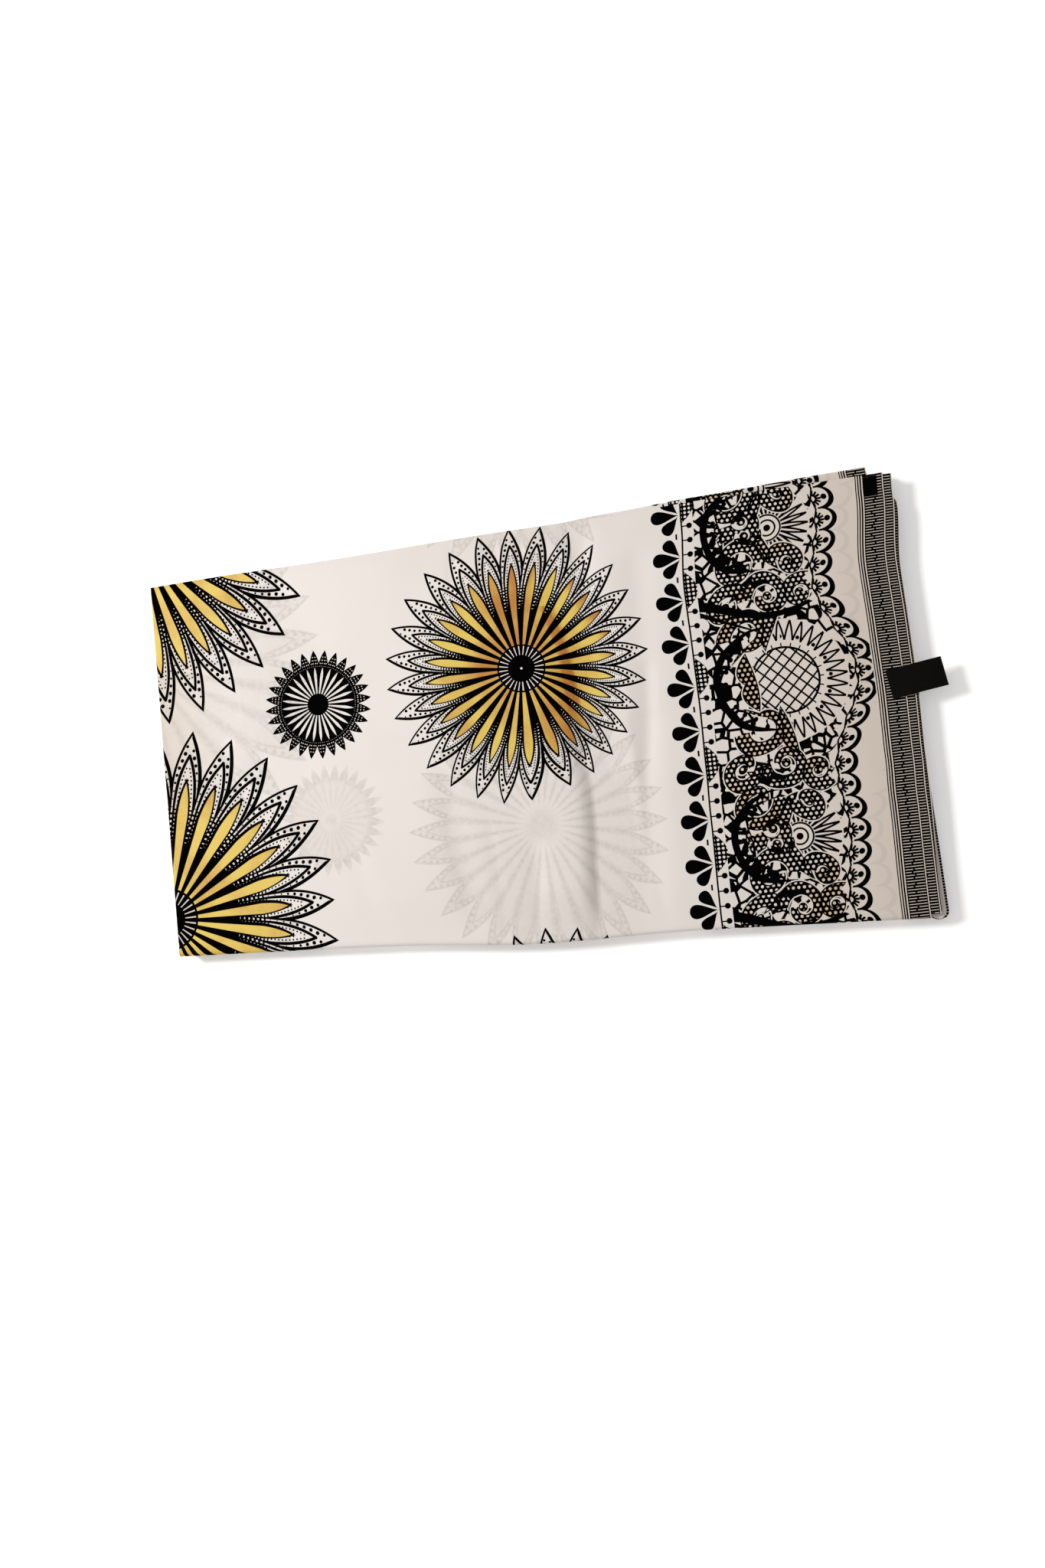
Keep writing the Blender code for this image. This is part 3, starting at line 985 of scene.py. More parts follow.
@dataclass(frozen=True)
class Rosette:
    """The sunburst medallion, in units of its own radius.

    A pair of sizes is for the big medallion and for the middle one. A gap is a stretch where
    the petals stand off their even places: its start, its run and the shift, in degrees.
    """

    petals: int = 28
    pin: float = 0.0085
    disc: float = 0.100
    dashes: float = 0.165
    ring: float = 0.178
    slit: float = 0.11
    solid_to: float = 0.43
    filled_to: float = 0.62
    filled_slope: float = 0.14
    lines: tuple[float, float] = (0.0180, 0.0175)
    outline_swell: float = 0.28
    pitches: tuple[float, float] = (0.0385, 0.0362)
    dots: tuple[float, float] = (0.0114, 0.0110)
    dot_share: float = 0.44
    last_dot: float = 0.915
    opens_at: float = 0.58
    bar_pitch: float = 0.34
    bar_slope: float = 0.036
    bar_least: float = 0.0056
    fine_pitches: tuple[float, float] = (0.0205, 0.0190)
    fine_dot: float = 0.0050
    fine_row: float = 0.0180
    fine_start: float = 1.05
    fine_bars_to: float = 0.60
    fine_bar_slope: float = 0.034
    fine_bar_least: float = 0.0042
    golds: tuple[float, float] = (0.0300, 0.0282)
    gold_shares: tuple[float, float] = (0.46, 0.44)
    gold_start: float = 0.47
    gold_tip: float = 0.722
    frame_tip: float = 0.750
    frame: float = 0.0135
    frame_swell: float = 0.42
    inner_start: float = 0.60
    inner_tip: float = 0.868
    inner_width: float = 0.0560
    inner_end: float = 0.875
    bound_start: float = 0.70
    bound_width: float = 0.0864
    cell_gap: float = 0.038
    big_growth: float = 0.09
    upper_growth: float = 0.036
    growth: float = 0.020
    lower_cut: float = 0.025
    right_cut: float = 0.060
    left_cut: float = 0.045
    big_gaps: tuple[tuple[float, float, float], ...] = ((-130.0, 30.0, -5.0), (-84.0, 43.0, 5.0))
    medium_gaps: tuple[tuple[float, float, float], ...] = (
        (-115.9, 23.5, 2.2), (-92.4, 19.7, -5.5), (-72.7, 26.8, 0.7), (-45.9, 35.0, 2.6))

    def ogive(self, r: Field, start: float, tip: float, width: float, power: float) -> Field:
        """Half the width of a pointed petal at a radius."""
        along = ((r - start) * (1 / (tip - start))).high(0.0)
        return (1.0 - along ** power) * width

    def gold_half(self, r: Field, medium: Field) -> Field:
        """Half the width of a gold petal.

        Args:
            r: Distance from the centre.
            medium: 1 for the middle medallion, 0 for the big one.

        Returns:
            The half width, negative past its tip.
        """
        inner = r * (math.pi / self.petals) * pick(self.gold_shares, medium)
        outer = self.ogive(r, self.gold_start, self.gold_tip, width=1.0, power=3.4)
        return (outer * pick(self.golds, medium)).low(inner)

    def frame_half(self, r: Field, medium: Field, frame: Field) -> Field:
        """Half the width of a gold petal with its black frame.

        Args:
            r: Distance from the centre.
            medium: 1 for the middle medallion, 0 for the big one.
            frame: How wide the frame is.

        Returns:
            The half width, negative past its tip.
        """
        inner = r * (math.pi / self.petals) * pick(self.gold_shares, medium) + frame
        outer = self.ogive(r, self.gold_start, self.frame_tip, width=1.0, power=3.2)
        return (outer * (pick(self.golds, medium) + frame)).low(inner)

    def inner_half(self, r: Field) -> Field:
        """Half the width of the line drawn inside each petal."""
        half = self.ogive(r, self.inner_start, self.inner_tip, self.inner_width, power=2.4)
        return half - (self.inner_start - r).high(0.0) * 0.04

    def bound_half(self, r: Field) -> Field:
        """Half the width of a petal."""
        half = self.ogive(r, self.bound_start, 1.0, self.bound_width, power=2.05)
        return half - (self.bound_start - r).high(0.0) * 0.05

    def stretched(self, x: Field, y: Field, medium: Field) -> Field:
        """Distance from the centre, by the medallion's own slightly uneven outline.

        Args:
            x: Place across, from the centre.
            y: Place along, from the centre.
            medium: 1 for the middle medallion, 0 for the big one.

        Returns:
            The distance, which is 1 at the petals' tips.
        """
        r = reach(x, y)
        q = y / r
        big = (abs(q) * 1.35).clamp() * self.big_growth
        cut = (x / r * 2.0 + 0.5).clamp() * self.right_cut + self.lower_cut
        lower = (q * -1.0).clamp() * cut
        uneven = (q * 1.4).clamp() * self.upper_growth - lower + self.growth
        grown = big.blend(uneven, medium) * ((r - 0.18) * 1.6).clamp()
        return r / (grown + 1.0)

    def side(self, x: Field, y: Field, spin: Field | float) -> Field:
        """How far round from a petal's middle a point is, in petals, with its sign."""
        return (turn(y, x) * (self.petals / (2 * math.pi)) + spin).part() - 0.5

    def shifted(self, angle: Field, gaps: Sequence[tuple[float, float, float]]) -> Field:
        """How far petals stand off their even places.

        Args:
            angle: The direction from the centre, in radians.
            gaps: The stretches where they do.

        Returns:
            The shift, in petals.
        """
        shift = Field(angle.tree, 0.0) + 0.0
        for start, run, change in gaps:
            climb = ((angle - math.radians(start)) * (1 / math.radians(run))).clamp()
            shift = shift + climb * (math.radians(change) * self.petals / (2 * math.pi))
        return shift

    def uneven_side(self, x: Field, y: Field, spin: Field, medium: Field) -> Field:
        """How far round a point is, for petals that stand a little unevenly.

        Args:
            x: Place across, from the centre.
            y: Place along, from the centre.
            spin: How far the petals are turned, in petals.
            medium: 1 for the middle medallion, 0 for the big one.

        Returns:
            The distance from the nearest petal's middle, in petals, with its sign.
        """
        angle = turn(y, x)
        shift = self.shifted(angle, self.big_gaps).blend(self.shifted(angle, self.medium_gaps), medium)
        return (angle * (self.petals / (2 * math.pi)) + shift + spin).part() - 0.5

    def big_dots(self, r: Field, s: Field, first: Field, edges: tuple[Field, Field], grown: Field,
                 medium: Field) -> Field:
        """The row of dots along a petal's edge, which close up to bars between the gold petals.

        Args:
            r: Distance from the centre.
            s: Distance from the petal's middle line.
            first: 1 on the petal's first half, which lies over its neighbour.
            edges: The widths of the inner line and of the outline.
            grown: How much the inner parts are drawn in.
            medium: 1 for the middle medallion, 0 for the big one.

        Returns:
            The row's black.
        """
        pitch = pick(self.pitches, medium)
        late = r - self.last_dot + first.off() * pitch * 0.5
        off = late.math("WRAP", pitch * 0.5, pitch * -0.5)
        at = r - off
        low_edge = self.inner_half(at * grown).high(0.0) + edges[0] * 0.5
        high_edge = (self.bound_half(at) - edges[1]).low(at * (2 * math.pi / self.petals) - self.cell_gap)
        cap = pick(self.dots, medium) * ((at - self.bound_start) * 1.1 + 0.76)
        radius = ((high_edge - low_edge) * self.dot_share).low(cap)
        round_dot = reach(off, s - (low_edge + high_edge) * 0.5).less(radius)
        round_dot = round_dot & at.less(self.last_dot + 0.005) & at.more(self.opens_at)
        close = late.math("WRAP", pitch * self.bar_pitch, pitch * -self.bar_pitch)
        bar = abs(close).less((self.opens_at - r) * self.bar_slope + self.bar_least)
        bar = bar & r.less(self.opens_at + 0.008)
        return round_dot | (bar & s.more(self.inner_half(r * grown)))

    def fine_dots(self, r: Field, s: Field, grown: Field, medium: Field) -> Field:
        """The rows of fine dots inside the inner line.

        Args:
            r: Distance from the centre.
            s: Distance from the petal's middle line.
            grown: How much the inner parts are drawn in.
            medium: 1 for the middle medallion, 0 for the big one.

        Returns:
            The dots' black.
        """
        pitch = pick(self.fine_pitches, medium)
        off = r.math("WRAP", pitch * 0.5, pitch * -0.5)
        inward = self.inner_half((r - off) * grown) - s - self.fine_row * self.fine_start
        from_row = inward.every(self.fine_row)
        dots = reach(off, from_row).less(self.fine_dot) & inward.more(-0.005)
        dots = dots & (s + from_row).more(0.004)
        width = (self.fine_bars_to - r) * self.fine_bar_slope + self.fine_bar_least
        bars = abs(off).less(width) & r.less(self.fine_bars_to)
        return (dots | bars) & s.less(self.inner_half(r * grown))

    def draw(self, x: Field, y: Field, spin: Field | float, medium: Field) -> tuple[Field, Field]:
        """Work out the inks at a point of a large medallion.

        Args:
            x: Place across, from the centre.
            y: Place along, from the centre.
            spin: How far the petals are turned, in petals.
            medium: 1 for the middle medallion, 0 for the big one.

        Returns:
            How much black and how much gold covers the point.
        """
        r = self.stretched(x, y, medium)
        grown = (x * -1.3 / reach(x, y)).clamp() * medium * self.left_cut + 1.0
        within = r * grown
        side = self.uneven_side(x, y, spin, medium)
        cell = r * (2 * math.pi / self.petals)
        own = abs(side) * cell
        over = (side + side.less(0.0)) * cell
        bound = self.bound_half(r)
        lies_over = over.less(bound)
        first = side.more(0.0) | lies_over
        s = own.blend(over, lies_over)
        facing = (first * 2.0 - 1.0) * (x * 0.75 + y * 0.60) / reach(x, y)
        upward = (side.more(0.0) * 2.0 - 1.0) * (x * 0.95 + y * 0.30) / reach(x, y)
        line = pick(self.lines, medium) * (((r - 0.50) * 5.0).clamp() * 0.45 + 0.55)
        outline = line * (1.0 - facing * self.outline_swell)
        gold = own.less(self.gold_half(within, medium)) & r.more(self.ring) & within.less(self.gold_tip)
        frame = self.frame_half(within, medium, (upward * self.frame_swell + 1.0) * self.frame)
        frame = own.less(frame) & within.less(self.frame_tip)
        inner = self.inner_half(within)
        rim = s.more(bound - outline)
        second = abs(s - inner).less(line * 0.5) & within.less(self.inner_end)
        filled = s.less(inner - line * 0.5 - ((r - 0.42) * self.filled_slope).high(0.0))
        filled = filled & r.less(self.filled_to)
        rows = self.big_dots(r, s, first, (line, outline), grown, medium)
        rows = rows | self.fine_dots(r, s, grown, medium)
        petals = rim | frame | second | rows | filled | r.less(self.solid_to)
        petals = petals & r.more(self.ring) & s.less(bound)
        slits = own.less(cell * self.slit) & r.more(self.disc) & r.less(self.dashes)
        centre = r.less(self.ring) & (slits | r.less(self.pin)).off()
        return (petals & gold.off()) | centre, gold

    def draw_small(self, x: Field, y: Field, spin: float) -> Field:
        """Work out the black of the small medallion, which has no gold.

        Args:
            x: Place across, from the centre.
            y: Place along, from the centre.
            spin: How far the petals are turned, in petals.

        Returns:
            How much black covers the point.
        """
        r = reach(x, y)
        s = abs(self.side(x, y, spin)) * r * (2 * math.pi / self.petals)
        edge = r * (math.pi / self.petals)
        lens = self.ogive(r, start=0.44, tip=0.68, width=0.027, power=2.6).low(edge * 0.44)
        white = s.less(lens) & r.more(0.20)
        bound = self.ogive(r, start=0.66, tip=1.0, width=0.094, power=2.1)
        specks = reach(r.every(0.058), (s - 0.023).every(0.034)).less(0.0092)
        specks = specks & r.more(0.70) & s.less(bound - 0.024)
        return s.less(bound) & (white | specks).off()

    def toward(self, x: Field, y: Field, degrees: float) -> Field:
        """1 in a direction from the centre, falling to -1 in the opposite one."""
        angle = math.radians(degrees)
        return (x * math.cos(angle) + y * math.sin(angle)) / reach(x, y)

    def brown_and_painted_shade(self, x: Field, y: Field, medium: Field) -> Field:
        """How far the gold turns to brown: at the inner ends, and in a few of the petals; on the upper
        petals the brown is painted shade.

        Args:
            x: Place across, from the centre.
            y: Place along, from the centre.
            medium: 1 for the middle medallion, 0 for the big one.

        Returns:
            The share of brown.
        """
        r = reach(x, y)
        inner = ((0.52 - r) * 2.2).clamp() * 0.64
        # Painted shade: the upper petals turn brown.
        upper = ((self.toward(x, y, 96.0) - 0.90) * 12.0).clamp() * 0.85
        lower = ((self.toward(x, y, -63.0) - 0.92) * 12.0).clamp() * 0.80
        ends = ((self.toward(x, y, 29.0) - 0.80) * 7.0).clamp() * ((r - 0.60) * 9.0).clamp()
        return inner.high(upper).high(lower).high(ends) * (medium * 0.8 + 0.2)

    def faint(self, x: Field, y: Field, spin: Field | float, fill: float,
              lower: float = 0.0) -> Field:
        """The medallion as it shows through from a layer beneath, soft and with few details.

        Args:
            x: Place across, from the centre.
            y: Place along, from the centre.
            spin: How far the petals are turned, in petals.
            fill: How dark its outer petals are between their edges.
            lower: How much longer its lowest petals are.

        Returns:
            How strongly it shows.
        """
        r = reach(x, y)
        r = r * (1.0 - (y * -1.0 / r).clamp() * (x / r + 0.8).clamp() * lower)
        side = abs(self.side(x, y, spin))
        s = side * r * (2 * math.pi / self.petals)
        rays = ((side - 0.20) * 4.0).clamp() * (0.54 - fill * 0.5) + (0.10 + fill * 0.25)
        rays = rays * ((r - 0.10) * 9.0).clamp() * ((0.80 - r) * 7.0).clamp()
        centre = ((0.18 - r) * 9.0).clamp() * 0.42
        bound = self.ogive(r, start=0.68, tip=1.02, width=0.088, power=2.0)
        within = ((bound - s) * 60.0).clamp() * ((r - 0.60) * 8.0).clamp()
        rim = (1.0 - abs(bound - s - 0.012) * 75.0).clamp()
        second = (1.0 - abs(s - self.inner_half(r)) * 75.0).clamp() * r.less(0.89)
        at = r - r.every(0.046)
        middle = (self.inner_half(at).high(0.0) + self.bound_half(at)) * 0.5
        dots = ((1.0 - reach(r - at, s - middle) * 60.0) * 2.0).clamp() * r.less(0.95)
        lines = rim.high(second * 0.7).high(dots * 0.75)
        return rays.high(centre).high(within * (lines * (0.85 - fill) + fill))


@dataclass(frozen=True)
class Place:
    """A medallion's centre on the flat cloth, in millimetres, its radius, its turn, its repeat."""

    u: float
    v: float
    radius: float
    spin: float
    repeat: float = 309.0


@dataclass(frozen=True)
class FieldPrint:
    """The medallions on the plain ground between the centre fold and the border."""

    big: Place = Place(-6.1, 201.4, 140.0, 0.484)
    medium: Place = Place(300.4, 53.7, 107.0, 0.438, 313.5)
    small: Place = Place(133.8, 48.5, 44.0, 0.5)
    big_ghost: Place = Place(-8.0, 98.0, 147.0, 0.3)
    medium_ghost: Place = Place(304.5, -69.1, 105.0, 0.78)
    small_ghost: Place = Place(136.7, -44.6, 44.5, 0.2)
    divide: float = 184.0
    big_fill: float = 0.24
    small_fill: float = 0.60
    lower: float = 0.115
    # Where the painted shade of the main crease browns the gold, and how its line bends.
    crease_shade_u: float = 337.5
    crease_shade_bend: float = 0.0445

    def local(self, u: Field, v: Field, place: Place) -> tuple[Field, Field]:
        """The place in a medallion's own units."""
        scale = 1 / place.radius
        return (u - place.u) * scale, (v - place.v).every(place.repeat) * scale

    def placed(self, u: Field, v: Field, big: Place, medium: Place) -> tuple[Field, Field, Field, Field]:
        """The place in whichever of the two large medallions is the nearer.

        Args:
            u: Millimetres from the centre line.
            v: Millimetres along the cloth.
            big: The big medallion.
            medium: The middle medallion.

        Returns:
            The place across and along, the turn, and 1 for the middle medallion.
        """
        is_medium = u.more(self.divide)
        big_x, big_y = self.local(u, v, big)
        medium_x, medium_y = self.local(u, v, medium)
        x = big_x.blend(medium_x, is_medium)
        y = big_y.blend(medium_y, is_medium)
        return x, y, pick((big.spin, medium.spin), is_medium), is_medium

    def draw(self, u: Field, v: Field) -> tuple[Field, Field, Field, Field]:
        """Work out the inks.

        Args:
            u: Millimetres from the centre line.
            v: Millimetres along the cloth.

        Returns:
            Black, gold, what shows faintly through from the layer beneath, and how far the
            gold turns to brown, partly painted shade along the main crease and on the upper petals.
        """
        rosette = Rosette()
        placed = self.placed(u, v, self.big, self.medium)
        black, gold = rosette.draw(*placed)
        brown_and_painted_shade = rosette.brown_and_painted_shade(placed[0], placed[1], placed[3])
        # Painted shade: the gold turns brown along the main crease across the middle medallion.
        bent = (v - 20.0).high(0.0) * self.crease_shade_bend
        crease_shade = (1.2 - abs(u - self.crease_shade_u + bent * bent) * 0.16).clamp() * (v + 20.0).less(120.0)
        brown_and_painted_shade = brown_and_painted_shade.high(crease_shade * v.more(15.0) * 1.1)
        black = black | rosette.draw_small(*self.local(u, v, self.small), self.small.spin)
        x, y, spin, _ = self.placed(u, v, self.big_ghost, self.medium_ghost)
        ghost = rosette.faint(x, y, spin, self.big_fill, self.lower)
        small = self.small_ghost
        x, y = self.local(u, v, small)
        soft = ((1.08 - reach(x, y)) * 4.0).clamp() * 0.85
        ghost = ghost.high(rosette.faint(x, y, small.spin, self.small_fill) * soft)
        return black, gold, ghost, brown_and_painted_shade


@dataclass(frozen=True)
class Scroll:
    """A scroll of the lace: its centre, the radius of its middle turn, and 1 or -1 for its way."""

    a: float
    m: float
    size: float
    way: float


@dataclass(frozen=True)
class Leaf:
    """A leaf of the lace: its middle, its direction in degrees, its length and half its width."""

    a: float
    m: float
    lean: float
    length: float
    width: float


@dataclass(frozen=True)
class Crescent:
    """A bold crescent of the lace: its centre and its radius."""

    a: float
    m: float
    size: float


@dataclass(frozen=True)
class BorderPrint:
    """The lace border: trefoils, a line, a lace ground, scallops and the printed selvedge.

    Sizes are in millimetres. The places of the lace's shapes are from the line, and from the
    middle of the net, on both sides of it.
    """

    line_u: float = 443.0
    line: float = 0.65
    trefoil: float = 33.7
    trefoil_at: float = 155.2
    trefoil_lean: float = 47.0
    middle_drop: tuple[float, float] = (22.0, 5.5)
    side_drop: tuple[float, float] = (17.5, 4.8)
    repeat: float = 235.9
    middle: float = 17.0
    scallop: float = 16.85
    edge_at: float = 114.5
    edge_swells: tuple[float, float] = (9.0, 6.0)
    lash_step: float = 27.0
    lash: float = 0.85
    zigzag_line: float = 0.78
    net_at: float = 66.0
    net_radius: float = 25.0
    net_pitch: float = 7.2
    net_line: float = 0.68
    fan: tuple[float, float] = (30.5, 46.0)
    fan_points: int = 32
    sun_at: float = 64.0
    sun_rings: tuple[float, float] = (6.0, 10.0)
    sun_rays: tuple[float, float] = (11.0, 31.0)
    sun_points: int = 26
    scrolls: tuple[Scroll, ...] = (
        Scroll(44.0, 36.0, 12.0, 1.0),
        Scroll(28.0, 62.0, 10.0, -1.0),
        Scroll(60.0, 64.0, 11.5, 1.0),
        Scroll(84.0, 68.0, 8.5, -1.0),
        Scroll(38.0, 90.0, 12.5, -1.0),
        Scroll(46.0, 112.0, 9.0, 1.0),
        Scroll(76.0, 92.0, 7.5, 1.0),
    )
    scroll_half: float = 4.3
    leaves: tuple[Leaf, ...] = (
        Leaf(60.0, 42.0, 70.0, 42.0, 5.5),
        Leaf(28.0, 22.0, 30.0, 34.0, 5.0),
        Leaf(58.0, 100.0, 115.0, 36.0, 5.0),
        Leaf(24.0, 106.0, 80.0, 30.0, 4.5),
        Leaf(47.0, 74.0, 20.0, 38.0, 4.5),
        Leaf(38.0, 8.0, 96.0, 30.0, 6.5),
    )
    crescents: tuple[Crescent, Crescent] = (Crescent(54.0, 0.0, 39.0), Crescent(50.0, 118.0, 34.0))
    bead: float = 1.12
    bead_pitch: float = 4.1
    bead_row: float = 7.1
    web_cell: float = 9.0
    web_line: float = 0.98
    edge_u: float = FLAT_HALF_WIDTH / MM
    selvedge_lines: tuple[tuple[float, float], ...] = ((16.6, 0.6), (18.4, 0.5), (20.2, 0.4))
    selvedge_width: float = 21.5
    dash_pitch: float = 2.12
    dash_half: float = 0.118
    ghost_shift: tuple[float, float] = (13.0, 52.0)
    block_v: float = 154.8
    block_half: float = 7.6

    def drop(self, along: Field, across: Field, length: float, width: float) -> Field:
        """A teardrop, pointed where it starts and round at its far end.

        Args:
            along: Millimetres from its point, along it.
            across: Millimetres from its middle line.
            length: Its length.
            width: Half its width at the widest.

        Returns:
            1 inside it.
        """
        share = along * (1 / length)
        half = share.high(0.0) ** 1.6 * (1.0 - share).high(0.0).root() * (width / 0.326)
        return abs(across).less(half)

    def trefoils(self, a: Field, v: Field) -> Field:
        """Three drops at each joint along the line, a dash between joints, and the line.

        Args:
            a: Millimetres from the line.
            v: Millimetres along the cloth.

        Returns:
            Their black.
        """
        tv = (v - self.trefoil_at).every(self.trefoil)
        out = -1.0 * a - 1.0
        lean = math.radians(self.trefoil_lean)
        mirrored = abs(tv)
        along = out * math.cos(lean) + mirrored * math.sin(lean)
        across = out * math.sin(lean) - mirrored * math.cos(lean)
        shapes = self.drop(out, tv, *self.middle_drop) | self.drop(along - 1.2, across, *self.side_drop)
        between_joints = (v - self.trefoil_at - self.trefoil / 2).every(self.trefoil)
        dash = abs(a + 4.5).less(0.7) & abs(between_joints).less(2.2)
        return shapes | dash | abs(a).less(self.line)

    def edge_line(self, v: Field) -> Field:
        """The middle line of the scalloped edge, which swells twice in each repeat.

        Args:
            v: Millimetres along the cloth.

        Returns:
            Millimetres from the line.
        """
        angle = (v - self.middle) * (2 * math.pi / self.repeat)
        single, double = self.edge_swells
        return angle.wave() * single + (angle * 2.0).wave() * double + self.edge_at

    def scallops(self, a: Field, v: Field) -> tuple[Field, Field]:
        """The thick scalloped line, thin at its joints.

        Args:
            a: Millimetres from the line.
            v: Millimetres along the cloth.

        Returns:
            The scallops' black, and how far in from them a point is.
        """
        sv = (v - self.middle).every(self.scallop)
        depth = a - self.edge_line(v)
        outer = (85.0 - sv * sv).high(0.0).root() * 1.1 - 5.2
        lean = sv - 0.9
        inner = (78.0 - lean * lean * 1.25).high(0.0).root() * 1.1 - 8.4
        return depth.less(outer) & depth.more(inner), depth - outer

    def eyelashes(self, a: Field, v: Field) -> Field:
        """Short rays and a dot inside each scallop, joined by a thin crooked line.

        Args:
            a: Millimetres from the line.
            v: Millimetres along the cloth.

        Returns:
            Their black.
        """
        sv = (v - self.middle).every(self.scallop)
        x = a - self.edge_line(v) + 11.0
        r = reach(x, sv)
        angle = turn(sv, x)
        step = math.radians(self.lash_step)
        ray = abs(angle.every(step) * r).less(self.lash) & r.more(1.9) & r.less(6.6) & x.more(0.3)
        dot = reach(x - 8.7, sv - 0.8).less(2.2)
        knot = abs(x + 1.0 - abs(sv) * 0.25).less(0.7)
        return ray | dot | knot

    def zigzag(self, r: Field, angle: Field, points: int, start: float, end: float) -> Field:
        """A zigzag ring of thin lines round a centre.

        Args:
            r: Millimetres from the centre.
            angle: The direction, in radians.
            points: How many points the ring has.
            start: Its inner radius.
            end: Its outer radius.

        Returns:
            The lines' black.
        """
        cell = 2 * math.pi / points
        side = abs((angle * (1 / cell)).part() - 0.5) * 2.0
        climb = (r - start) * (1 / (end - start))
        line = abs(side - climb) * r * (cell / 2)
        return line.less(self.zigzag_line) & r.more(start) & r.less(end)

    def net_disc(self, a: Field, v: Field) -> tuple[Field, Field]:
        """A round net with a fan of zigzags outside it.

        Args:
            a: Millimetres from the line.
            v: Millimetres along the cloth.

        Returns:
            The lines, and 1 all over the motif's ground.
        """
        x = a - self.net_at
        y = (v - self.middle).every(self.repeat)
        r = reach(x, y)
        first = abs(((x + y) * math.sqrt(0.5)).every(self.net_pitch)).less(self.net_line)
        second = abs(((x - y) * math.sqrt(0.5)).every(self.net_pitch)).less(self.net_line)
        net = (first | second) & r.less(self.net_radius)
        ring = abs(r - self.net_radius).less(0.85)
        angle = turn(y, x)
        ticks = abs(angle.every(math.radians(15)) * r).less(0.5)
        ticks = ticks & r.more(self.net_radius) & r.less(self.net_radius + 3.5)
        fan = self.zigzag(r, angle, self.fan_points, *self.fan) & x.more(-6.0)
        seeds = reach(r - 33.5, angle.every(math.radians(22.5)) * r).less(1.5) & x.more(0.0)
        return net | ring | ticks | fan | seeds, r.less(self.fan[1] + 1.0) & x.more(-27.0)

    def half_sun(self, a: Field, v: Field) -> tuple[Field, Field]:
        """Rings and long rays half a repeat away from the net.

        Args:
            a: Millimetres from the line.
            v: Millimetres along the cloth.

        Returns:
            The lines, and 1 all over the motif's ground.
        """
        x = a - self.sun_at
        y = (v - self.middle - self.repeat / 2).every(self.repeat)
        r = reach(x, y)
        angle = turn(y, x)
        rings = abs(r - self.sun_rings[0]).less(0.7) | abs(r - self.sun_rings[1]).less(0.7)
        rays = self.zigzag(r, angle, self.sun_points, *self.sun_rays)
        return rings | rays | r.less(2.6), r.less(self.sun_rays[1] + 1.0) & x.more(-12.0)

    def scroll(self, a: Field, m: Field, shape: Scroll) -> Field:
        """How deep a point is inside a scroll that winds out from its centre.

        Args:
            a: Millimetres from the line.
            m: Millimetres from the net's middle.
            shape: The scroll.

        Returns:
            The depth in millimetres, negative outside.
        """
        x = (a - shape.a) * shape.way
        y = m - shape.m
        r = reach(x, y)
        angle = turn(y, x)
        middle = angle * (shape.size * 0.15) + shape.size
        half = self.scroll_half + angle * 0.45
        eye = 3.4 - r
        return (half - abs(r - middle)).high(eye)

    def leaf(self, a: Field, m: Field, shape: Leaf) -> Field:
        """How deep a point is inside a curved leaf.

        Args:
            a: Millimetres from the line.
            m: Millimetres from the net's middle.
            shape: The leaf.

        Returns:
            The depth in millimetres, negative outside.
        """
        cos, sin = math.cos(math.radians(shape.lean)), math.sin(math.radians(shape.lean))
        x, y = a - shape.a, m - shape.m
        along = (x * cos + y * sin) * (2 / shape.length)
        across = y * cos - x * sin
        bow = along * along
        return (1.0 - bow) * shape.width - abs(across + bow * (shape.width * 0.8))

    def crescent(self, a: Field, m: Field, shape: Crescent) -> tuple[Field, Field]:
        """A bold crescent, open to the right, with teeth on its inner side.

        Args:
            a: Millimetres from the line.
            m: Millimetres from the net's middle.
            shape: The crescent.

        Returns:
            The ink, and 1 over the clear ground that its teeth stand in.
        """
        size = shape.size
        x, y = a - shape.a, m - shape.m
        r = reach(x, y)
        angle = turn(y, x)
        half = (0.25 - x * (1 / size)).clamp() * 2.7
        band = abs(r - size).less(half)
        spaced = angle.every(0.30) * r
        knob = reach(r - size + 6.4, spaced).less(1.9)
        tooth = abs(spaced).less((r - size + 8.0) * 0.28) & r.less(size) & r.more(size - 7.0)
        left = x.less(-size * 0.2)
        ground = left & r.less(size + 2.5) & r.more(size - 9.0)
        return band | ((knob | tooth) & left), ground

    def branch(self, a: Field, y: Field) -> Field:
        """A tapered stem from the line to the scallops, with a fork at its foot.

        Args:
            a: Millimetres from the line.
            y: Millimetres from the net's middle, with its sign.

        Returns:
            The stem's black.
        """
        path = (a * (math.pi / 62)).wave() * 7.0 + 58.0
        stem = abs(y - path).less(4.3 - a * 0.030)
        fork = abs(y - 62.0 + a * 0.45).less(2.3 - a * 0.034) & a.less(50.0)
        return (stem | fork) & a.more(9.0)

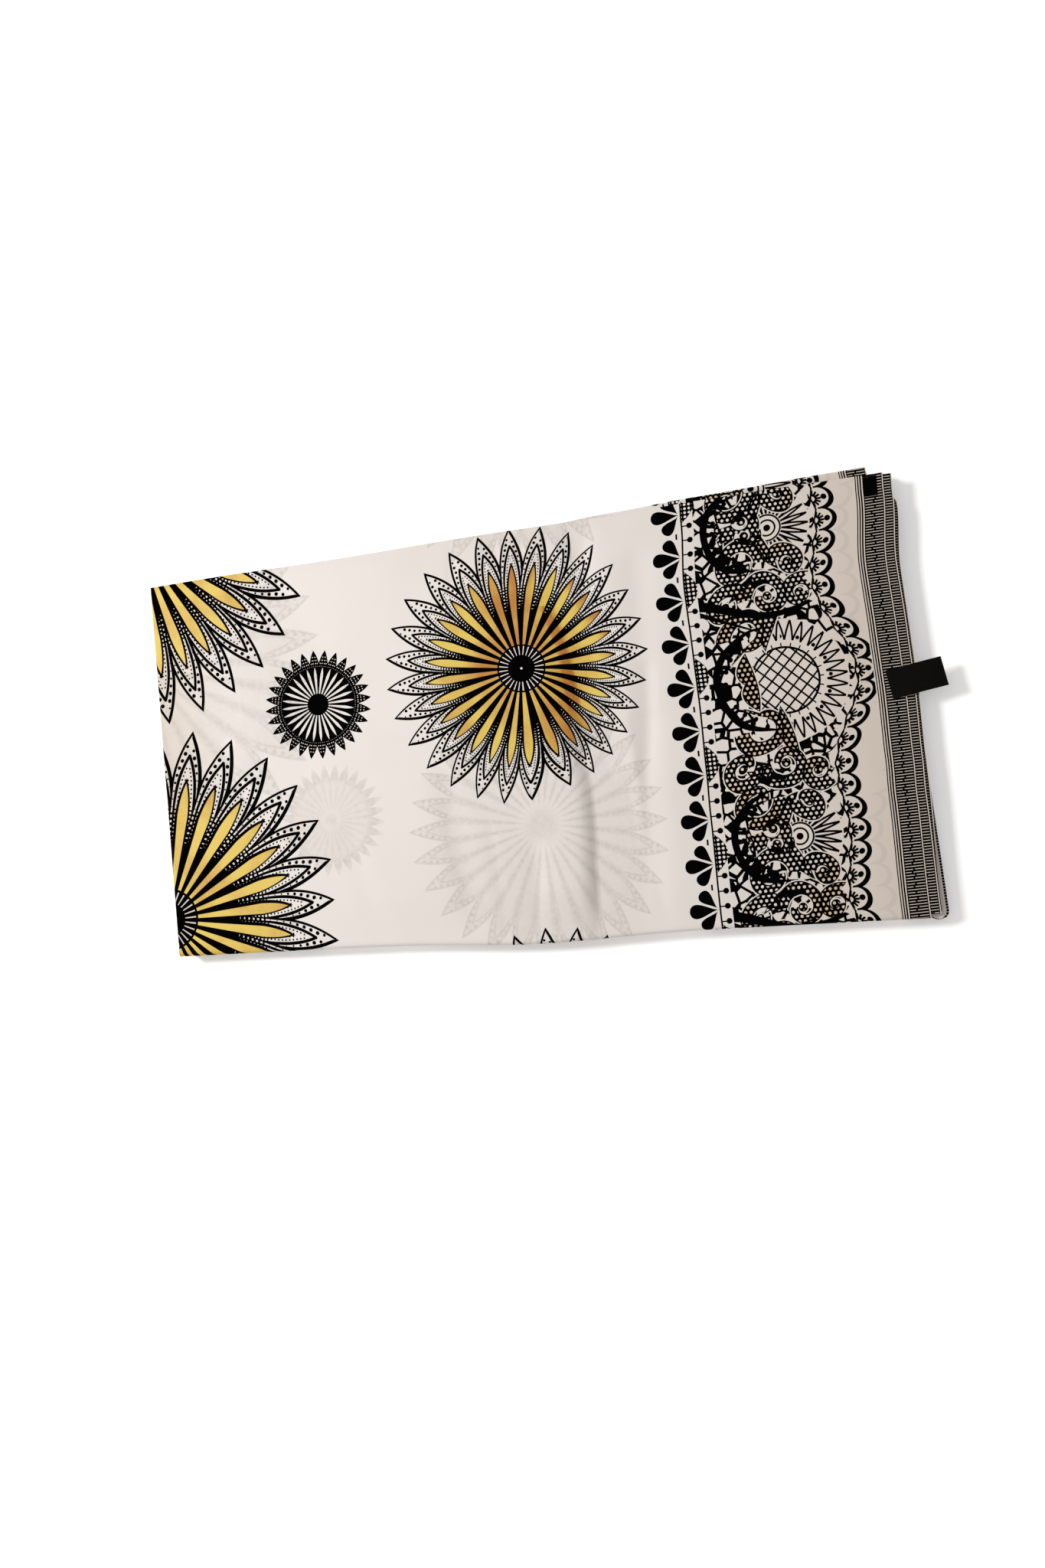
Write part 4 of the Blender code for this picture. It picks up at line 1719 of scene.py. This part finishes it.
    def lace(self, a: Field, v: Field) -> tuple[Field, Field]:
        """The lace ground: beaded scrolls and leaves, crescents, stems and a thin web.

        Args:
            a: Millimetres from the line.
            v: Millimetres along the cloth.

        Returns:
            The black, and 1 where a bead shows.
        """
        y = (v - self.middle).every(self.repeat)
        bent = (v - self.middle) * (2 * math.pi / self.repeat)
        sway = a + (bent * 2.0).math("SINE") * 3.0
        m = abs(y + (a * 0.09).math("SINE") * 2.5)
        shapes = [self.scroll(sway, m, shape) for shape in self.scrolls]
        shapes += [self.leaf(sway, m, shape) for shape in self.leaves]
        depth, next_depth = shapes[0], Field(a.tree, -50.0) + 0.0
        for shape in shapes[1:]:
            next_depth = next_depth.high(depth.low(shape))
            depth = depth.high(shape)
        pitch, row = self.bead_pitch, self.bead_row
        first = reach(a.every(pitch), v.every(row))
        other = reach((a - pitch / 2).every(pitch), (v - row / 2).every(row))
        bold, clear = self.crescent(sway, m, self.crescents[0])
        more, more_clear = self.crescent(sway, m, self.crescents[1])
        bold = bold | more | self.branch(a, y)
        depth = depth - (clear | more_clear) * 50.0
        beads = first.low(other).less(self.bead) & depth.more(1.0) & (depth - next_depth).more(1.5)
        net, net_ground = self.net_disc(a, v)
        sun, sun_ground = self.half_sun(a, v)
        open_ground = (net_ground | sun_ground).off()
        thin = (self.web(a, v) & open_ground) | (net & net_ground) | (sun & sun_ground)
        covered = depth.more(0.0)
        black = (covered & beads.off()) | (thin & depth.less(-0.9)) | bold
        return black, beads & bold.off()

    def web(self, a: Field, v: Field) -> Field:
        """Irregular thin brides that tie the lace together, seamless from repeat to repeat.

        Args:
            a: Millimetres from the line.
            v: Millimetres along the cloth.

        Returns:
            The web's black.
        """
        tree = a.tree
        angle = v * (2 * math.pi / self.repeat)
        radius = self.repeat / (2 * math.pi)
        joined = tree.nodes.new("ShaderNodeCombineXYZ")
        places = (a, angle.wave() * radius, angle.math("SINE") * radius)
        for socket, place in zip(joined.inputs, places):
            tree.links.new(place.value, socket)
        cells = tree.nodes.new("ShaderNodeTexVoronoi")
        cells.feature = "DISTANCE_TO_EDGE"
        cells.inputs["Scale"].default_value = 1 / self.web_cell
        cells.inputs["Randomness"].default_value = 0.8
        tree.links.new(joined.outputs[0], cells.inputs["Vector"])
        return Field(tree, cells.outputs["Distance"]).less(self.web_line / self.web_cell)

    def selvedge(self, e: Field, v: Field) -> Field:
        """The three thin lines and the rows of dashes along the edge.

        Args:
            e: Millimetres in from the edge.
            v: Millimetres along the cloth.

        Returns:
            The black ink.
        """
        lines, *others = [abs(e - at).less(half) for at, half in self.selvedge_lines]
        for other in others:
            lines = lines | other
        row = v * (1 / self.dash_pitch)
        number = row - row.part()
        shift = ((number * 0.618).part() - 0.5) * 3.4
        dash = abs(row.part() - 0.5).less(self.dash_half)
        middle = abs(e - 8.4 - shift).less(0.7) & ((number * 0.379).part()).more(0.35)
        ends = abs(e - 14.6).less(0.35) | e.less(1.3)
        band = e.more(0.7) & e.less(15.1)
        return lines | (band & (dash & middle.off() & ends.off()).off())

    def inner_edge(self, a: Field, v: Field) -> Field:
        """Stalks with a dot each along the line, and a beaded lens at every second joint.

        Args:
            a: Millimetres from the line.
            v: Millimetres along the cloth.

        Returns:
            Their black.
        """
        dots_v = v.every(self.trefoil / 3)
        stalk = a.more(0.0) & a.less(5.0) & abs(dots_v).less(0.5)
        dot = reach(a - 5.8, dots_v).less(2.2)
        lens_v = (v - self.trefoil_at - 8.0).every(self.trefoil * 2)
        lens = a.less(10.0 - lens_v * lens_v * 0.045) & a.more(0.0)
        bead = reach(a.every(3.3), lens_v.every(3.3)).less(1.0)
        return (((stalk | dot) & lens.off()) | (lens & bead.off())) & a.more(0.0)

    def block(self, e: Field, v: Field) -> Field:
        """A plain black block in the selvedge, near the cloth's end."""
        return e.more(4.4) & e.less(14.4) & abs((v - self.block_v).every(1500.0)).less(self.block_half)

    def draw(self, u: Field, v: Field) -> tuple[Field, Field, Field]:
        """Work out the border's black, and what shows through from beneath.

        Args:
            u: Millimetres from the centre line.
            v: Millimetres along the cloth.

        Returns:
            Black, ghost, and 1 where a lace bead shows.
        """
        a = u - self.line_u
        e = self.edge_u - u
        line, from_edge = self.scallops(a, v)
        lace, beads = self.lace(a, v)
        inside = from_edge.less(-17.0) & a.more(9.0)
        lashes = self.eyelashes(a, v) & from_edge.less(-1.0) & from_edge.more(-18.0)
        black = self.trefoils(a, v) | self.inner_edge(a, v) | (lace & inside) | lashes | line
        ghost_line, _ = self.scallops(a - self.ghost_shift[0], v + self.ghost_shift[1])
        clear = e.more(self.selvedge_width)
        black = (black & clear) | self.selvedge(e, v) | self.block(e, v)
        return black, ghost_line & clear, beads & inside


class Zone(Enum):
    """The two parts of the print, each with its own finish."""

    FIELD = "printed_field"
    BORDER = "printed_border"


@dataclass(frozen=True)
class PrintedCotton:
    """White cotton with a soft sheen, printed in black and gold."""

    cloth: tuple[float, float, float] = (0.703, 0.659, 0.620)
    warm: tuple[float, float, float] = (0.688, 0.642, 0.596)
    # Painted shade: the darker colour that the ground turns to near the half fold and towards the selvedge.
    edge: tuple[float, float, float] = (0.60, 0.525, 0.46)
    shade: tuple[float, float, float] = (0.36, 0.325, 0.30)
    black: tuple[float, float, float] = (0.0015, 0.0012, 0.0012)
    bead: tuple[float, float, float] = (0.60, 0.44, 0.28)
    gold: tuple[float, float, float] = (0.66, 0.478, 0.090)
    amber: tuple[float, float, float] = (0.43, 0.168, 0.025)
    ghost_share: float = 0.62
    border_ghost: float = 0.32
    boundary: float = 414 * MM
    # How far from the half fold the painted shade reaches, in millimetres.
    fold_shade: float = 58.0
    thread: float = 0.36
    relief: float = 0.4 * MM
    roughness: float = 0.52
    sheen: float = 0.08
    specular: float = 0.28

    def mixed(self, tree: bpy.types.NodeTree, share: Field, first: object, second: object) -> object:
        """Mix two colours, each a plain colour or a socket.

        Args:
            tree: The material's nodes.
            share: How much of the second.
            first: The colour where share is 0.
            second: The colour where share is 1.

        Returns:
            The mixed colour's socket.
        """
        node = tree.nodes.new("ShaderNodeMix")
        node.data_type = "RGBA"
        tree.links.new(share.value, node.inputs[0])
        for socket, colour in ((node.inputs[6], first), (node.inputs[7], second)):
            if isinstance(colour, tuple):
                socket.default_value = (*colour, 1.0)
            else:
                tree.links.new(colour, socket)
        return node.outputs[2]

    def noise(self, tree: bpy.types.NodeTree, chart: object, scale: float, detail: float) -> Field:
        """A soft random field over the flat cloth.

        Args:
            tree: The material's nodes.
            chart: The flat place as a vector.
            scale: How fine it is.
            detail: How many finer steps it has.

        Returns:
            The field, about 0.5 on average.
        """
        node = tree.nodes.new("ShaderNodeTexNoise")
        node.noise_dimensions = "2D"
        node.inputs["Scale"].default_value = scale
        node.inputs["Detail"].default_value = detail
        tree.links.new(chart, node.inputs["Vector"])
        return Field(tree, node.outputs["Fac"])

    def make(self, zone: Zone) -> bpy.types.Material:
        """Build the finish for one zone of the print.

        Args:
            zone: Which part of the print.

        Returns:
            The material.
        """
        material = bpy.data.materials.new(zone.value)
        material.use_nodes = True
        tree = material.node_tree
        shader = tree.nodes["Principled BSDF"]
        chart = tree.nodes.new("ShaderNodeUVMap")
        chart.uv_map = "Cloth"
        split = tree.nodes.new("ShaderNodeSeparateXYZ")
        tree.links.new(chart.outputs[0], split.inputs[0])
        u, v = (Field(tree, split.outputs[i]) * 1000.0 for i in (0, 1))
        blotch = self.noise(tree, chart.outputs[0], 9.0, 3.0)
        ground = self.mixed(tree, ((blotch - 0.45) * 4.0).clamp(), self.cloth, self.warm)
        # Painted shade: the ground darkens towards the half fold.
        ground = self.mixed(tree, (1.0 - u * (1 / self.fold_shade)).clamp(), ground, self.edge)
        if zone is Zone.FIELD:
            black, gold, ghost, brown_and_painted_shade = FieldPrint().draw(u, v)
            mottle = (self.noise(tree, chart.outputs[0], 300.0, 3.0) - 0.5) * 1.3 + 0.9
            ground = self.mixed(tree, ghost * mottle * self.ghost_share, ground, self.shade)
            patches = self.noise(tree, chart.outputs[0], 31.0, 2.5)
            grain = self.noise(tree, chart.outputs[0], 900.0, 1.0)
            # The gold's tone: its browning, partly painted shade, with random patches and grain.
            tone = (brown_and_painted_shade + (patches - 0.44) * 1.9 + (grain - 0.5) * 0.5).clamp()
            ink = self.mixed(tree, tone, self.gold, self.amber)
            ground = self.mixed(tree, gold, ground, ink)
        else:
            black, ghost, beads = BorderPrint().draw(u, v)
            # Painted shade: the border's ground darkens towards the selvedge.
            ground = self.mixed(tree, ((u - 430.0) * (1 / 150.0)).clamp(), ground, self.edge)
            ground = self.mixed(tree, ghost * self.ghost_share * self.border_ghost, ground, self.shade)
            tan = self.noise(tree, chart.outputs[0], 22.0, 1.0)
            ground = self.mixed(tree, beads & ((tan - 0.46) * 5.0).clamp(), ground, self.bead)
        tree.links.new(self.mixed(tree, black, ground, self.black), shader.inputs["Base Color"])
        self.weave(tree, shader, u, v, chart.outputs[0], black)
        bare = black.off()
        tree.links.new((bare * self.sheen).value, shader.inputs["Sheen Weight"])
        tree.links.new((bare * self.specular).value, shader.inputs["Specular IOR Level"])
        shader.inputs["Sheen Roughness"].default_value = 0.4
        return material

    def weave(self, tree: bpy.types.NodeTree, shader: bpy.types.Node, u: Field, v: Field,
              chart: object, black: Field) -> None:
        """Plain weave and slight rumples as relief, and a roughness that follows the ink.

        Args:
            tree: The material's nodes.
            shader: The surface shader.
            u: Millimetres across.
            v: Millimetres along.
            chart: The flat place as a vector.
            black: How much black covers the point.
        """
        threads = (u * (math.pi / self.thread)).math("SINE") * (v * (math.pi / self.thread)).math("SINE")
        rumple = self.noise(tree, chart, 70.0, 4.0)
        height = threads * 0.04 + rumple * 0.55
        bump = tree.nodes.new("ShaderNodeBump")
        bump.inputs["Strength"].default_value = 0.25
        bump.inputs["Distance"].default_value = self.relief
        tree.links.new(height.value, bump.inputs["Height"])
        tree.links.new(bump.outputs[0], shader.inputs["Normal"])
        rough = self.roughness + (rumple - 0.5) * 0.12 - black * 0.06
        tree.links.new(rough.value, shader.inputs["Roughness"])

    def dress(self, obj: bpy.types.Object, finishes: dict[Zone, bpy.types.Material]) -> None:
        """Give each face the finish of its zone, by its place on the flat cloth.

        Args:
            obj: The piece.
            finishes: The finish of each zone.
        """
        mesh = obj.data
        mesh.materials.clear()
        for zone in Zone:
            mesh.materials.append(finishes[zone])
        across = np.zeros(len(mesh.loops) * 2, dtype=np.float32)
        mesh.uv_layers["Cloth"].uv.foreach_get("vector", across)
        starts = np.zeros(len(mesh.polygons), dtype=int)
        mesh.polygons.foreach_get("loop_start", starts)
        indices = (across[0::2][starts] > self.boundary).astype(int)
        mesh.polygons.foreach_set("material_index", indices)


@dataclass(frozen=True)
class LabelBlack:
    """Matt black woven tape, bare."""

    colour: tuple[float, float, float] = (0.0025, 0.0023, 0.0022)
    worn: tuple[float, float, float] = (0.0055, 0.005, 0.0048)
    rib_scale: float = 420.0
    wear_scale: float = 160.0
    relief: float = 0.1 * MM
    roughness: float = 0.6
    specular: float = 0.03

    def make(self) -> bpy.types.Material:
        """Build the finish.

        Returns:
            The material.
        """
        material = bpy.data.materials.new("label_black")
        material.use_nodes = True
        tree = material.node_tree
        shader = tree.nodes["Principled BSDF"]
        place = tree.nodes.new("ShaderNodeTexCoord")
        ribs = tree.nodes.new("ShaderNodeTexWave")
        ribs.inputs["Scale"].default_value = self.rib_scale
        ribs.inputs["Distortion"].default_value = 1.5
        tree.links.new(place.outputs["Object"], ribs.inputs["Vector"])
        wear = tree.nodes.new("ShaderNodeTexNoise")
        wear.inputs["Scale"].default_value = self.wear_scale
        wear.inputs["Detail"].default_value = 4.0
        tree.links.new(place.outputs["Object"], wear.inputs["Vector"])
        colour = tree.nodes.new("ShaderNodeMix")
        colour.data_type = "RGBA"
        colour.inputs[6].default_value = (*self.colour, 1.0)
        colour.inputs[7].default_value = (*self.worn, 1.0)
        tree.links.new(wear.outputs["Fac"], colour.inputs[0])
        tree.links.new(colour.outputs[2], shader.inputs["Base Color"])
        bump = tree.nodes.new("ShaderNodeBump")
        bump.inputs["Strength"].default_value = 0.3
        bump.inputs["Distance"].default_value = self.relief
        tree.links.new(ribs.outputs["Fac"], bump.inputs["Height"])
        tree.links.new(bump.outputs[0], shader.inputs["Normal"])
        shader.inputs["Roughness"].default_value = self.roughness
        shader.inputs["Specular IOR Level"].default_value = self.specular
        return material


@dataclass(frozen=True)
class Studio:
    """A pale floor, soft light and the photograph's camera."""

    target: tuple[float, float, float] = (-0.0173, -0.0355, 0.0191)
    camera: tuple[float, float, float] = (0.1857, -0.1770, 1.1678)
    image_up: tuple[float, float, float] = (0.108, 0.994, 0.0)
    lens: float = 35.0
    floor_size: float = 8.0
    floor_grey: float = 0.86
    floor_glow: float = 0.30
    room: tuple[float, float, float] = (1.0, 0.965, 0.925)
    room_strength: float = 0.42

    def floor(self) -> None:
        """Lay the plain pale floor."""
        bpy.ops.object.select_all(action="DESELECT")
        bpy.ops.mesh.primitive_plane_add(size=self.floor_size, location=(0.0, 0.0, 0.0))
        floor = bpy.context.active_object
        floor.name = "floor"
        material = bpy.data.materials.new("pale_floor")
        material.use_nodes = True
        shader = material.node_tree.nodes["Principled BSDF"]
        shader.inputs["Base Color"].default_value = (self.floor_grey, self.floor_grey, self.floor_grey, 1.0)
        shader.inputs["Roughness"].default_value = 0.9
        shader.inputs["Emission Color"].default_value = (1.0, 1.0, 1.0, 1.0)
        shader.inputs["Emission Strength"].default_value = self.floor_glow
        floor.data.materials.append(material)

    def lamp(self, name: str, place: tuple[float, float, float], size: float, power: float) -> None:
        """Hang one soft lamp, aimed at the cloth.

        Args:
            name: The lamp's name.
            place: Where it hangs.
            size: Its width.
            power: Its power in watts.
        """
        light = bpy.data.lights.new(name, "AREA")
        light.energy = power
        light.size = size
        obj = bpy.data.objects.new(name, light)
        bpy.context.scene.collection.objects.link(obj)
        obj.location = place
        obj.rotation_euler = (Vector((0.0, 0.0, 0.0)) - Vector(place)).to_track_quat("-Z", "Y").to_euler()

    def light(self) -> None:
        """Set the lamps and the room's own light."""
        world = bpy.data.worlds.new("room")
        bpy.context.scene.world = world
        world.use_nodes = True
        background = world.node_tree.nodes["Background"]
        background.inputs["Color"].default_value = (*self.room, 1.0)
        background.inputs["Strength"].default_value = self.room_strength
        self.lamp("key", place=(-1.5, 0.58, 1.78), size=0.50, power=44.8)
        self.lamp("top", place=(-0.2, 0.2, 2.0), size=1.4, power=4.0)
        bpy.context.scene.view_settings.view_transform = "Standard"

    def shoot(self) -> None:
        """Set the camera at the photograph's angle."""
        data = bpy.data.cameras.new("camera")
        data.lens = self.lens
        data.sensor_width = 36.0
        data.clip_start = 0.01
        camera = bpy.data.objects.new("camera", data)
        bpy.context.scene.collection.objects.link(camera)
        place, target = Vector(self.camera), Vector(self.target)
        ahead = (target - place).normalized()
        right = ahead.cross(Vector(self.image_up)).normalized()
        up = right.cross(ahead)
        turned = Matrix((right, up, -ahead)).transposed().to_4x4()
        camera.matrix_world = Matrix.Translation(place) @ turned
        bpy.context.scene.camera = camera


def settle(obj: bpy.types.Object, node: str) -> None:
    """Tie a piece to the model.

    Args:
        obj: The piece.
        node: The solid that it stands for.
    """
    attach(obj, "root")
    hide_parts(node)
    LOG.info("%s stands for %s: %d faces", obj.name, node, len(obj.data.polygons))


def main() -> None:
    """Build the pieces in order, dress them and set the stage."""
    logging.basicConfig(level=logging.INFO, format="%(message)s")
    cotton = PrintedCotton()
    finishes = {zone: cotton.make(zone) for zone in Zone}

    stack = StackFolds().build()
    cotton.dress(stack, finishes)
    settle(stack, "folded_stack")

    second = NextFold().build()
    cotton.dress(second, finishes)
    settle(second, "third_leaf")

    under = UnderCloth().build()
    cotton.dress(under, finishes)
    settle(under, "second_leaf")

    top = TopCloth().build()
    cotton.dress(top, finishes)
    settle(top, "top_leaf")

    label = Label().build()
    label.data.materials.clear()
    label.data.materials.append(LabelBlack().make())
    settle(label, "label")

    studio = Studio()
    studio.floor()
    studio.light()
    studio.shoot()


if __name__ == "__main__":
    main()
